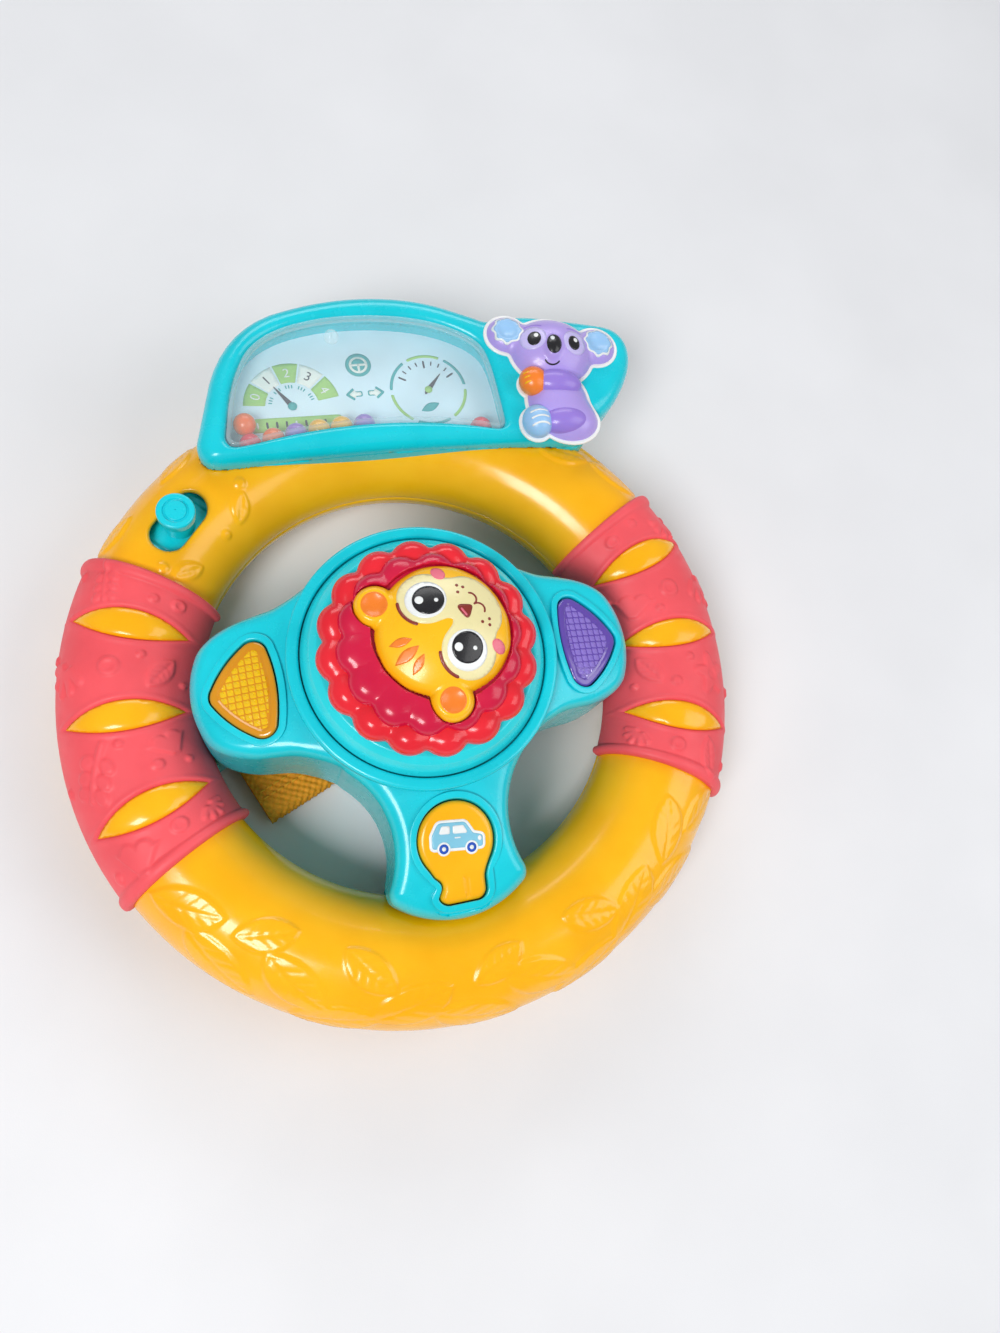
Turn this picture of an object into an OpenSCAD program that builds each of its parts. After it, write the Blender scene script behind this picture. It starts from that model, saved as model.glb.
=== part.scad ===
// Toy steering wheel: ring rim with two soft grips, a hub with light-up buttons, a spinning
// lion, a dash with loose beads, and a strap loop behind the left spoke.
// It lies on its back. X runs to the right, Y towards the dash, Z out of the face.
// The origin is on the hub axis, in the plane that the hub's back rests on.

/* [Rim] */
// Outer diameter of the rim
rim_d = 210; // [196:1:224]
// Diameter of the rim tube
tube_d = 39; // [36:0.5:41]
// Wall of both rim shells
rim_wall = 2.4; // [2:0.1:2.8]
// Height of the rim's back above the resting plane
rim_lift = 1; // [0.5:0.1:2]

/* [Grips] */
// Half of the arc that a grip covers, in degrees
grip_arc = 30; // [27:0.5:33]
// Wall of a grip
grip_t = 1.6; // [1.2:0.1:2]
// Extra height of the bead at a grip's ends
bead_h = 1.2; // [0.6:0.1:1.6]
// Arc that an end bead covers, in degrees
bead_arc = 2.4; // [1.6:0.1:3.2]
// Length of a lens window
lens_l = 33; // [28:1:34]
// Width of a lens window
lens_w = 9.6; // [7:0.2:11]
// Angle from one lens window to the next
lens_step = 18.5; // [16:0.5:20]

/* [Hub casing] */
// Radius of the hub
hub_r = 40; // [38:0.5:42]
// Wall of both hub casings
hub_wall = 2.4; // [2:0.1:2.8]
// Radius of the domed front of hub and spokes
dome_r = 180; // [160:5:220]
// Height of the dome's crown
dome_top = 60.6; // [58:0.2:62]
// Half width that the side spokes would have on the hub axis
spoke_half = 28; // [26:0.5:29]
// How much a side spoke narrows per unit of length
spoke_taper = 0.15; // [0.12:0.01:0.18]
// Reach of the side spokes
spoke_reach = 66.5; // [65.5:0.5:68]
// Radius of the side spokes' rounded ends
spoke_end_r = 28; // [26:0.5:30]
// Reach of the lower spoke
foot_reach = 74.5; // [73.5:0.5:76]
// Radius of the lower spoke's rounded end
foot_end_r = 29.3; // [27:0.1:31]
// Radius of the hollows between lower spoke and side spokes
hollow_r = 28; // [26:0.5:29]
// Distance of a hollow's centre from the middle plane
hollow_x = 45; // [44:0.5:46]
// Distance of a hollow's centre below the hub axis
hollow_y = 50.3; // [49:0.1:52]
// Inset of the rear casing behind the spokes
rear_inset = 4; // [3:0.2:5]
// Height of the spokes' back above the resting plane
spoke_back = 8.2; // [8:0.1:9]
// Radius of the hub's rear barrel
barrel_r = 32.5; // [31.5:0.1:33]
// Floor of the rear barrel
floor_t = 2.2; // [2:0.1:2.6]

/* [Bezel and spinner] */
// Width of the casing's edge outside the bezel ring
ring_edge = 0.8; // [0.4:0.1:1.2]
// Width of the bezel ring
ring_w = 3.6; // [3:0.1:4.5]
// Height of the seat for the ring
seat_z = 55.5; // [54.5:0.1:56]
// Height of the bezel ring
ring_h = 4.9; // [4:0.1:6]
// Gap between ring and spinner
spin_gap = 0.4; // [0.3:0.1:0.8]
// Height of the spinner dome
spin_h = 10.4; // [9:0.1:12]
// Radius of the spinner's shaft
shaft_r = 5; // [4:0.1:6]
// Running clearance of the shaft, on the radius
shaft_fit = 0.06; // [0.02:0.01:0.1]
// Length of the shaft's bearing below the seat plate
bearing_l = 9; // [7:0.5:10]

/* [Lion] */
// Reach of the outer mane
mane_r = 31.5; // [29:0.5:33]
// Number of outer mane lobes
mane_n = 16; // [12:1:18]
// Radius of an outer lobe
lobe_r = 6; // [5:0.1:6.6]
// Reach of the inner mane
tuft_reach = 24; // [22:0.5:25]
// Number of inner mane lobes
tuft_n = 14; // [10:1:16]
// Radius of an inner lobe
tuft_r = 5.5; // [4.6:0.1:6]
// Radius of the face
face_r = 18.5; // [16:0.5:19]
// Radius of the face's dome
face_dome = 30; // [26:1:40]
// Shift of the face towards its chin
face_shift = 3.4; // [0:0.2:4]
// Radius of an ear
ear_r = 5.6; // [4.5:0.1:6]
// Turn of the lion away from upright, in degrees
lion_turn = 119; // [0:1:359]

/* [Buttons] */
// Gap between the bezel ring and a signal button's collar
signal_gap = 1.95; // [1.2:0.05:2.5]
// Distance of a signal button's tip from the spoke's end
signal_edge = 4.4; // [4:0.1:7]
// Width of a signal button at its base
signal_w = 28; // [24:0.2:28.6]
// Shift of the signal buttons below the hub axis
signal_drop = 1.5; // [0:0.1:2]
// Corner radius of a signal button
signal_corner = 4; // [3:0.1:4.4]
// Radius of the key's head
key_r = 11; // [10:0.1:11.3]
// Gap between the bezel ring and the key's collar
key_gap = 0.45; // [0.3:0.05:0.8]
// Width of the key's blade
key_blade_w = 14; // [11:0.5:14.5]
// Distance of the key's blade from the lower spoke's end
key_edge = 4.5; // [4:0.1:6]
// Width of the collar round a button
collar_w = 2; // [1.6:0.1:2.2]
// Height of a collar above the dome
collar_proud = 1; // [0.4:0.1:1.4]
// Gap between a button and its collar
button_gap = 0.35; // [0.3:0.05:0.6]
// Travel of the buttons
button_travel = 2; // [1:0.1:2.4]

/* [Slider on the rim] */
// Place of the slot on the rim, in degrees from the X axis
slot_angle = 137.5; // [132:0.5:142]
// Length of the slot
slot_l = 21; // [18:0.5:23]
// Width of the slot
slot_w = 11; // [9.5:0.5:12]
// Radius of the slider knob's head
knob_r = 5.7; // [5:0.1:6.2]
// Height of the knob's top above the rim's middle plane
knob_top = 27; // [25:0.5:29]

/* [Dash] */
// Height of the dash's face
dash_face = 46.8; // [46:0.2:48]
// Height of the dash's back
dash_back = 33.2; // [32.5:0.1:34]
// Wall of the dash housings
dash_wall = 2.2; // [1.8:0.1:2.4]
// Thickness of the dash's face round the window
face_t = 1.8; // [1.4:0.1:2.2]
// Thickness of the window's rim
window_t = 1.5; // [1.2:0.1:1.6]
// Width of the window's hidden rim
window_lap = 2.2; // [1.6:0.1:2.6]
// Thickness of the dial card
card_t = 0.6; // [0.4:0.1:0.8]
// Diameter of a bead
bead_d = 7.2; // [6.4:0.1:7.3]
// Rise of the beads' floor in its middle
floor_bow = 4.4; // [3:0.1:5]

/* [Strap] */
// Width of the webbing
strap_w = 25; // [20:1:26]
// Thickness of the webbing
strap_t = 1.5; // [1.2:0.1:1.6]
// Length of the flattened loop
strap_l = 49; // [44:1:50]
// Height of the flattened loop
strap_h = 6.4; // [6:0.1:6.6]
// Diameter of the strap bar
strap_bar_d = 3; // [2.6:0.1:3.2]

/* [Electronics] */
// Thickness of the circuit board
board_t = 1.6; // [1:0.1:2]
// Height of the board's top
board_top = 32; // [31:0.2:33]
// Diameter of a cell
cell_d = 10.4; // [10:0.1:10.5]
// Length of a cell
cell_l = 44.5; // [44:0.1:44.6]
// Radius of the speaker
speaker_r = 10; // [8:0.5:10]

/* [Fasteners] */
// Diameter of the screw shanks
screw_d = 2.5; // [2:0.1:2.8]
// Diameter of the screw heads
head_d = 5; // [4.4:0.1:5.4]
// Height of the screw heads
head_h = 1.8; // [1.4:0.1:2.2]
// Wall of a screw boss
boss_wall = 1.7; // [1.4:0.1:1.9]

/* [Hidden] */
$fn = 96;
slack = 0.15;
snug = 0.05;
cut = 1;
sky = 90;

tube_r = tube_d / 2;
rim_r = rim_d / 2 - tube_r;
rim_z = rim_lift + tube_r;
grip_r = tube_r + grip_t;
side_clear = 0.25;
rim_screw_angles = [20, 75, 105, 160, 200, 240, 300, 340];
dash_post_angles = [75, 105];
head_pocket = 4.5;

dome_z = dome_top - dome_r;
spoke_end_x = spoke_reach - spoke_end_r;
foot_end_y = foot_reach - foot_end_r;
flange_t = 2.1;
tongue_t = 3;
tongue_w = 16;
tongue_l = 12;
tongue_in = rim_r - tube_r - tongue_l;
tongue_root = rim_r - tube_r + 1.5;
screw_r = screw_d / 2;
boss_r = screw_r + boss_wall;
boss_angle = 12.2;
side_boss_in = 5.6;
foot_boss_in = 2.6;
side_boss = (rim_r - grip_r - side_boss_in) * [cos(boss_angle), sin(boss_angle)];
foot_boss = (rim_r - tube_r - foot_boss_in) * [sin(boss_angle), cos(boss_angle)];
casing_points = [for (s = [-1, 1], t = [-1, 1]) [s * side_boss.x, t * side_boss.y]];
casing_screw_points = concat(casing_points, [for (s = [-1, 1]) [s * foot_boss.x, -foot_boss.y]]);
casing_bite = 9;

ring_r = hub_r - ring_edge;
ring_in = ring_r - ring_w;
spin_r = ring_in - spin_gap;
spin_z = seat_z + 0.6;
spin_top = spin_z + spin_h;
spin_ball_r = spin_r + 2.8;
spin_ball_z = spin_top - sqrt(spin_ball_r * spin_ball_r - mane_r * mane_r);
plate_z = seat_z - hub_wall;
bearing_r = shaft_r + 3;
bearing_z = plate_z - bearing_l;
cam_t = 1.4;
cam_gap = 0.4;
cam_r = 9;
cam_lobe_r = 1.6;
cam_n = 6;
spinner_bite = 9;
cam_top = bearing_z - cam_gap;

mane_z = spin_top + 0.1;
mane_deck = mane_z + 4;
tuft_z = mane_deck + 0.1;
tuft_deck = tuft_z + 2.4;
face_z = tuft_deck + 0.1;
face_side = 1.6;
face_crown = face_z + face_side + face_dome - sqrt(face_dome * face_dome - face_r * face_r);
ear_out = 15.6;
ear_up = 9.6;

signal_x = ring_r + signal_gap + collar_w + button_gap;
signal_l = spoke_reach - signal_edge - signal_x;
key_y = ring_r + key_gap + collar_w + button_gap + key_r;
key_blade_l = foot_reach - key_edge - key_y;
signal_flange_t = 1.5;
signal_skirt_z = 42.5;
key_skirt_z = 39.8;
flange_lap = 1.6;
stem_r = 3;
rubber_r = 5;
rubber_rest = 2;
rubber_h = rubber_rest + button_travel;
stem_z = board_top + rubber_h + snug;
signal_stem_x = signal_x + signal_l * 0.32;

slider_r = tube_r - rim_wall - 1.5;
slider_t = 1.4;
slider_half = 32;
slider_len = 26;
slider_travel = 5;
track_gap = 0.3;
track_t = 1.5;
track_half = 46;
track_len = slider_len + 2 * slider_travel;
track_pin_r = 1.5;
track_pin_angle = 40;
track_pin_y = 12;
track_pin_short = rim_r - sqrt(rim_r * rim_r - track_pin_y * track_pin_y);
peg_r = 2.4;

dash_part_z = 40;
window_z = dash_face - face_t - window_t - 0.1;
pan_floor = 2;
card_z = dash_back + pan_floor + 0.1;
bead_r = bead_d / 2;
bead_z = card_z + card_t + bead_r + 0.08;
bead_pitch = bead_d + 0.12;
row_start = -38.2;
body_round = 8;
body_points = [[-46.5, 79], [64.5, 74.5], [64.5, 95], [36, 109.5], [17, 117.5], [-7, 118.5], [-34, 111]];
lobe_round = 5;
lobe_points = [[74.5, 80], [86, 95], [86.5, 102.5], [81, 106], [51, 112.5], [47, 106]];
body_bow_r = 496;
body_bow_at = [-6.8, -423];
tray_round = 5;
tray_points = [[-41.5, 80.6], [39.3, 78], [38.5, 98], [35.5, 105], [20, 112.7], [-7, 115.3],
    [-28.5, 110.2], [-37, 97]];
tray_half = 38.7;
tray_low = 75.6;
tray_bow_r = (tray_half * tray_half + floor_bow * floor_bow) / (2 * floor_bow);
tray_bow_at = [-3.9, tray_low + floor_bow - tray_bow_r];
dash_screw_points = [[-49.5, 81], [48.5, 109.5], [58, 76], [77, 99]];
dash_screw_r = 1;
koala_head = [[64, 100, -4, 13.5], [50, 107, -2, 6.8], [82, 101, -2, 7.2]];
koala_body = [[61, 82, -4, 12], [57, 74, -3, 9.5], [52, 73, -1, 6], [54.5, 88, -1, 6.6], [68, 75, -3, 8]];
dash_boss_r = 2.8;
dash_head_r = 2;
dash_head_h = 1.2;

strap_at = [-37.5, -29.1];
strap_turn = 113;
strap_z = 0.9;
bar_from_end = 26;
bar_z = strap_z + strap_h / 2;
lug_w = 5;
lug_gap = 0.8;
bar_end = 1;
strap_bar_l = strap_w + 2 * (lug_gap + lug_w) - 3 * bar_end;

bay_y = 14.6;
bay_half_x = cell_l / 2 + 2.35;
cell_pitch = cell_d + 1;
bay_half_y = cell_pitch / 2 + cell_d / 2 + 0.3;
bay_wall = 1.6;
bay_top = 14.2;
door_t = 1.8;
door_lap = 1.1;
door_fit = 0.2;
door_screw = [31, bay_y];
door_tab_r = 3.6;
cell_z = door_t + 0.4 + cell_d / 2;
speaker_at = [0, -19.5];
speaker_z = floor_t + 0.1;
speaker_h = 6;
speaker_rim = 2;
speaker_step = 3.4;
grille_r = 1;
grille_pitch = 3.2;
switch_at = [20, -9];
switch_travel = 2;
switch_nub = 3.6;
switch_pin = [1.6, 1.4, 2.4];
switch_body = [12, 6.4, 4.6];
switch_plate = [9.8, 5.6, 1];
switch_room = 0.8;
plate_gap = 0.2;
board_posts = [[-17, -25], [17, -25], [-20, 16], [20, 16]];
board_post_r = 2.6;
board_bite = 6;
board_inset = 4.2;
board_z = board_top - board_t;
blob_at = [0, 8];
blob_r = 6;
blob_h = 3;
chip_points = [[-12, -4], [12, -6], [24, 0], [-26, -4], [0, -36]];
chip_size = [4, 2.4, 1.8];
can_points = [[14, 12], [-8, -16]];
can_r = 2.5;
can_h = 6;
lamp_r = 1.5;
lamp_h = 3;
lamp_in = 3;
lamp_y = 6;
sensor_at = [-20, 4];
sensor_r = 2.6;
sensor_h = 7;
cam_switch_gap = 0.5;
cam_switch_size = [5, 6];

teal = [0.09, 0.78, 0.84];
pale_teal = [0.2, 0.84, 0.88];
yellow = [0.98, 0.73, 0.02];
coral = [0.94, 0.33, 0.38];
red = [0.89, 0.14, 0.2];
crimson = [0.84, 0.05, 0.24];
amber = [0.85, 0.67, 0.05, 0.9];
violet = [0.47, 0.37, 0.67, 0.9];
lavender = [0.68, 0.62, 0.88];
steel = [0.7, 0.71, 0.73];
board_green = [0.1, 0.42, 0.22];
black = [0.1, 0.1, 0.11];
white = [0.93, 0.94, 0.95];

// A convex outline with round corners, from the corner circles' centres in turn.
module soft_outline(centres, r, steps = 6) {
    n = len(centres);
    side = [for (i = [0 : n - 1]) centres[(i + 1) % n] - centres[i]];
    facing = [for (s = side) atan2(-s.x, s.y)];
    turn = [for (i = [0 : n - 1]) (facing[i] - facing[(i + n - 1) % n] + 720) % 360];
    polygon([for (i = [0 : n - 1], k = [0 : steps])
        let (a = facing[i] + turn[i] * (k / steps - 1))
            centres[i] + r * [cos(a), sin(a)]]);
}

// A prism over a flat outline, between two heights.
module slab(z0, z1) {
    translate([0, 0, z0])
        linear_extrude(z1 - z0)
            children();
}

// A cylinder between two heights at a place.
module post(at, r, z0, z1) {
    translate([at.x, at.y, z0])
        cylinder(r = r, h = z1 - z0);
}

// A screw that points up, with its head at the bottom.
module screw_up(at, z, length, shank = screw_r, head = head_d / 2, head_height = head_h) {
    post(at, head, z, z + head_height);
    post(at, shank, z, z + length);
}

// A screw that points down, with its head on top.
module screw_down(at, z, length) {
    post(at, head_d / 2, z, z + head_h);
    post(at, screw_r, z - length, z + head_h);
}

function on_rim(angle) = [rim_r * cos(angle), rim_r * sin(angle)];

// Part of a ring with the rim's middle line: from r0 to r1, front, rear or both halves.
module rim_ring(r0, r1, from, span, low = -1, high = 1) {
    reach = r1 + cut;
    translate([0, 0, rim_z])
        rotate([0, 0, from])
            rotate_extrude(angle = span)
                translate([rim_r, 0])
                    intersection() {
                        difference() {
                            circle(r1);
                            circle(r0);
                        }
                        translate([-reach, low * reach])
                            square([2 * reach, (high - low) * reach]);
                    }
}

module rim_body(r, from, span) {
    translate([0, 0, rim_z])
        rotate([0, 0, from])
            rotate_extrude(angle = span)
                translate([rim_r, 0])
                    circle(r);
}

// Room for the rim and its grips at the spoke ends.
module rim_room() {
    for (a = [0, 180])
        rim_body(grip_r + side_clear, a - grip_arc, 2 * grip_arc);
    rim_body(tube_r + side_clear, 270 - grip_arc, 2 * grip_arc);
}

module lens(spread) {
    half_l = lens_l / 2 + spread;
    half_w = lens_w / 2 + spread;
    r = (half_l * half_l + half_w * half_w) / (2 * half_w);
    intersection_for (s = [-1, 1])
        translate([0, s * (r - half_w)])
            circle(r);
}

// Upright prisms in the shape of the lens windows, on both grips.
module lens_prisms(spread) {
    for (a = [0, 180], k = [-1 : 1])
        rotate([0, 0, a + k * lens_step])
            translate([rim_r, 0, rim_z + cut])
                linear_extrude(tube_d)
                    lens(spread);
}

module slot_frame() {
    rotate([0, 0, slot_angle])
        translate([rim_r, 0, rim_z])
            children();
}

module slot_outline() {
    straight = (slot_l - slot_w) / 2;
    translate([-slot_w / 2, -straight])
        square([slot_w, 2 * straight]);
    for (s = [-1, 1])
        translate([0, s * straight])
            circle(slot_w / 2);
}

// Tongues that reach from the rim into the spokes.
module tongues_outline() {
    difference() {
        intersection() {
            casing_outline(hub_wall + 0.3);
            circle(tongue_root);
        }
        circle(tongue_in);
        for (p = casing_screw_points)
            translate(p)
                circle(boss_r + slack);
    }
    tongue_bridges(tongue_w);
}

module tongue_bridges(w) {
    for (a = [0, 180, 270])
        rotate(a)
            translate([tongue_in + 2, -w / 2])
                square([tongue_root - tongue_in - 2, w]);
}

module rim_front_shell() {
    color(yellow)
        difference() {
            union() {
                rim_ring(tube_r - rim_wall, tube_r, 0, 360, low = 0);
                for (a = rim_screw_angles)
                    if (len(search(a, dash_post_angles)) == 0)
                        post(on_rim(a), boss_r, rim_z, rim_z + tube_r - rim_wall / 2);
                slab(rim_z + 0.1, rim_z + 0.1 + tongue_t)
                    tongues_outline();
                intersection() {
                    lens_prisms(-0.25);
                    for (a = [0, 180])
                        rim_ring(tube_r - 0.5, grip_r + 0.2, a - grip_arc, 2 * grip_arc, low = 0);
                }
            }
            for (a = rim_screw_angles)
                if (len(search(a, dash_post_angles)) == 0)
                    post(on_rim(a), screw_r + snug, rim_z - cut, rim_z + casing_bite);
            slot_frame()
                linear_extrude(tube_d)
                    slot_outline();
            slab(dash_back - 0.2, sky)
                dash_outline(-0.3);
        }
}

module rim_rear_shell() {
    color(yellow)
        difference() {
            union() {
                rim_ring(tube_r - rim_wall, tube_r, 0, 360, high = 0);
                for (a = rim_screw_angles)
                    post(on_rim(a), head_d / 2 + boss_wall, rim_lift + rim_wall / 2, rim_z);
            }
            for (a = rim_screw_angles) {
                post(on_rim(a), screw_r + slack, rim_lift - cut, rim_z + cut);
                post(on_rim(a), head_d / 2 + 0.3, rim_lift - cut, rim_lift + head_pocket);
            }
        }
}

module grip(middle) {
    color(coral)
        difference() {
            union() {
                rim_ring(tube_r + slack, grip_r, middle - grip_arc, 2 * grip_arc, low = 0);
                for (s = [-1, 1])
                    rim_ring(tube_r + slack, grip_r + bead_h, middle + s * (grip_arc - bead_arc / 2)
                        - bead_arc / 2, bead_arc, low = 0);
            }
            lens_prisms(0);
            slab(rim_z - cut, rim_z + tongue_t + 0.3)
                tongue_bridges(tongue_w + 0.6);
        }
}

module left_grip() {
    grip(180);
}

module right_grip() {
    grip(0);
}

module rim_screws() {
    color(steel)
        for (a = rim_screw_angles)
            screw_up(on_rim(a), rim_lift + head_pocket - head_h, tube_r - head_pocket + head_h + 7);
}

// The slider: a domed plate inside the tube, and a knob that stands through the slot.
module tube_sector(r0, r1, length, half_angle) {
    reach = 2 * r1;
    rotate([90, 0, 0])
        linear_extrude(length, center = true)
            intersection() {
                difference() {
                    circle(r1);
                    circle(r0);
                }
                polygon([[0, 0], [reach * sin(half_angle), reach * cos(half_angle)],
                    [-reach * sin(half_angle), reach * cos(half_angle)]]);
            }
}

module slider_plate() {
    color(teal)
        slot_frame()
            difference() {
                tube_sector(slider_r - slider_t, slider_r, slider_len, slider_half);
                translate([0, 0, slider_r - 2 * slider_t])
                    cylinder(r = peg_r + snug, h = 3 * slider_t);
            }
}

module slider_knob() {
    neck_r = 3.2;
    foot_r = 4.4;
    head_t = 3.6;
    dish_r = 3.4;
    color(teal)
        slot_frame()
            difference() {
                union() {
                    translate([0, 0, slider_r - slider_t])
                        cylinder(r = peg_r, h = slider_t + cut);
                    translate([0, 0, slider_r + 0.1])
                        cylinder(r1 = foot_r, r2 = neck_r, h = knob_top - head_t - slider_r - 0.1);
                    translate([0, 0, knob_top - head_t])
                        cylinder(r = knob_r, h = head_t);
                }
                translate([0, 0, knob_top - 0.8])
                    difference() {
                        cylinder(r = dish_r + 0.8, h = cut);
                        cylinder(r = dish_r, h = cut);
                    }
            }
}

module slider_track() {
    track_r = slider_r - slider_t - track_gap;
    color(white)
        slot_frame() {
            tube_sector(track_r - track_t, track_r, track_len, track_half);
            for (s = [-1, 1], t = [-1, 1])
                translate([0, t * track_pin_y, 0])
                    rotate([0, s * track_pin_angle, 0])
                        post([0, 0], track_pin_r, track_r - track_t / 2,
                            tube_r - rim_wall - track_gap - track_pin_short);
        }
}

// The outline that hub and spokes share, moved inwards by an inset.
module casing_outline(inset) {
    difference() {
        union() {
            circle(hub_r - inset);
            for (s = [0, 1])
                mirror([s, 0])
                    side_spoke(inset);
            foot_spoke(inset);
        }
        for (s = [-1, 1])
            translate([s * hollow_x, -hollow_y])
                circle(hollow_r + inset);
    }
}

module side_spoke(inset) {
    skew = sqrt(1 + spoke_taper * spoke_taper);
    root = spoke_half - inset * skew;
    tip = root - spoke_taper * spoke_reach;
    intersection() {
        polygon([[0, -root], [spoke_reach, -tip], [spoke_reach, tip], [0, root]]);
        union() {
            translate([0, -spoke_half])
                square([spoke_end_x, 2 * spoke_half]);
            translate([spoke_end_x, 0])
                circle(spoke_end_r - inset);
        }
    }
}

module foot_spoke(inset) {
    root_y = 21;
    root_half = 46;
    tip_half = 24;
    intersection() {
        polygon([[-root_half, -root_y], [-tip_half, -foot_reach], [tip_half, -foot_reach],
            [root_half, -root_y]]);
        union() {
            translate([-root_half, -foot_end_y])
                square([2 * root_half, foot_end_y]);
            translate([0, -foot_end_y])
                circle(foot_end_r - inset);
        }
    }
}

module front_dome(rise) {
    translate([0, 0, dome_z])
        sphere(dome_r + rise, $fn = 360);
}

module hub_front_casing() {
    color(teal)
        difference() {
            union() {
                difference() {
                    intersection() {
                        slab(rim_z, sky)
                            casing_outline(0);
                        front_dome(0);
                    }
                    difference() {
                        intersection() {
                            slab(rim_z - cut, sky)
                                casing_outline(hub_wall);
                            front_dome(-hub_wall);
                        }
                        post([0, 0], hub_r + cut, plate_z, sky);
                    }
                }
                post([0, 0], bearing_r, bearing_z, seat_z);
                intersection() {
                    for (p = casing_screw_points)
                        post(p, boss_r, rim_z, sky);
                    front_dome(-hub_wall / 2);
                }
            }
            post([0, 0], hub_r + cut, seat_z, sky);
            post([0, 0], shaft_r + shaft_fit, bearing_z - cut, sky);
            for (p = casing_screw_points)
                post(p, screw_r + snug, rim_z - cut, rim_z + casing_bite);
            for (s = [0, 1])
                mirror([s, 0])
                    slab(rim_z + casing_bite + cut, sky)
                        signal_outline(button_gap + collar_w + 0.1);
            slab(rim_z + casing_bite + cut, sky)
                key_outline(button_gap + collar_w + 0.1);
            rim_room();
            slab(rim_z - cut, rim_z + tongue_t + 0.3)
                tongue_bridges(tongue_w + 0.6);
        }
}

// The rear casing's own outline below its flange: hub barrel and battery bay.
module barrel_outline(inset) {
    circle(barrel_r - inset);
    translate([-bay_half_x - bay_wall - door_lap, bay_y - bay_half_y - bay_wall - door_lap])
        square([2 * (bay_half_x + bay_wall + door_lap), 2 * (bay_half_y + bay_wall + door_lap)]);
    translate(door_screw)
        circle(door_tab_r + bay_wall);
}

module bay_box(grow, z0, z1) {
    half = [bay_half_x + grow, bay_half_y + grow];
    translate([-half.x, bay_y - half.y, z0])
        cube([2 * half.x, 2 * half.y, z1 - z0]);
}

module door_outline(grow) {
    half = [bay_half_x + door_lap + grow, bay_half_y + door_lap + grow];
    translate([-half.x, bay_y - half.y])
        square(2 * half);
    translate([0, bay_y - door_tab_r - grow])
        square([door_screw.x, 2 * (door_tab_r + grow)]);
    translate(door_screw)
        circle(door_tab_r + grow);
}

module strap_frame() {
    translate([strap_at.x, strap_at.y, 0])
        rotate([0, 0, strap_turn])
            children();
}

// Two lugs that hold the ends of the strap bar.
module strap_lugs() {
    reach = strap_w / 2 + lug_gap;
    for (s = [-1, 1])
        translate([bar_from_end - lug_w / 2, s > 0 ? reach : -reach - lug_w, bar_z - lug_w / 2])
            cube([lug_w, lug_w, spoke_back + hub_wall / 2 - bar_z + lug_w / 2]);
    translate([bar_from_end - lug_w / 2, reach - lug_w, spoke_back])
        cube([lug_w, 2 * lug_w, hub_wall / 2]);
}

module hub_rear_casing() {
    top = rim_z - 0.1;
    color(teal)
        difference() {
            union() {
                difference() {
                    union() {
                        slab(top - flange_t, top)
                            casing_outline(0.3);
                        slab(spoke_back, top)
                            casing_outline(rear_inset);
                        slab(0, top)
                            barrel_outline(0);
                    }
                    slab(spoke_back + hub_wall, top + cut)
                        casing_outline(rear_inset + hub_wall);
                    post([0, 0], barrel_r - hub_wall, floor_t, top + cut);
                }
                bay_box(bay_wall, floor_t / 2, bay_top + bay_wall);
                post(door_screw, door_tab_r, door_t, bay_top);
                for (p = board_posts)
                    post(p, board_post_r, p.y > 0 ? bay_top : floor_t / 2, board_z - snug);
                for (p = casing_screw_points)
                    post(p, head_d / 2 + boss_wall, spoke_back, top);
                post(speaker_at, speaker_r + bay_wall, floor_t / 2, speaker_z + speaker_rim);
                strap_frame()
                    strap_lugs();
            }
            bay_box(0, -cut, bay_top);
            slab(-cut, door_t)
                door_outline(door_fit);
            post(door_screw, screw_r + snug, -cut, bay_top - cut);
            for (p = board_posts)
                post(p, screw_r + snug, board_top - board_bite - cut, board_z + cut);
            for (p = casing_screw_points) {
                post(p, screw_r + slack, spoke_back - cut, top + cut);
                post(p, head_d / 2 + 0.3, spoke_back - cut, spoke_back + head_pocket);
            }
            post(speaker_at, speaker_r + slack, floor_t, sky);
            grille_holes();
            translate([switch_at.x, switch_at.y, 0])
                cube([switch_nub + 2 * switch_travel + switch_room, switch_nub + switch_room, 3 * floor_t],
                    center = true);
            strap_frame()
                translate([bar_from_end, 0, bar_z])
                    rotate([90, 0, 0])
                        cylinder(d = strap_bar_d + 2 * snug, h = strap_bar_l + bar_end, center = true);
            rim_room();
        }
}

module grille_holes() {
    post(speaker_at, grille_r, -cut, floor_t + cut);
    for (ring = [1, 2], k = [1 : 6 * ring])
        post(speaker_at + grille_pitch * ring * [cos(60 * k / ring), sin(60 * k / ring)], grille_r,
            -cut, floor_t + cut);
}

module casing_screws() {
    color(steel)
        for (p = casing_screw_points)
            screw_up(p, spoke_back + head_pocket - head_h,
                rim_z - spoke_back - head_pocket + head_h + casing_bite - cut);
}

module bezel_ring() {
    color(teal)
        slab(seat_z + snug, seat_z + ring_h)
            difference() {
                circle(ring_r);
                circle(ring_in);
            }
}

// The spinner: a domed base on a shaft, with the lion on top.
module spinner_dome() {
    hollow_top = spin_top - 2.4;
    color(pale_teal)
        difference() {
            union() {
                intersection() {
                    translate([0, 0, spin_ball_z])
                        sphere(spin_ball_r);
                    post([0, 0], spin_r, spin_z, spin_top);
                }
                post([0, 0], shaft_r, cam_top - snug, spin_top - cut);
            }
            difference() {
                post([0, 0], spin_r - 6.5, spin_z - cut, hollow_top);
                post([0, 0], shaft_r, 0, sky);
            }
            post([0, 0], screw_r + snug, cam_top - cut, cam_top + spinner_bite);
        }
}

module lobes(n, reach, r, z) {
    for (k = [1 : n])
        rotate([0, 0, 360 * k / n])
            translate([reach - r, 0, z])
                sphere(r);
}

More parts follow.
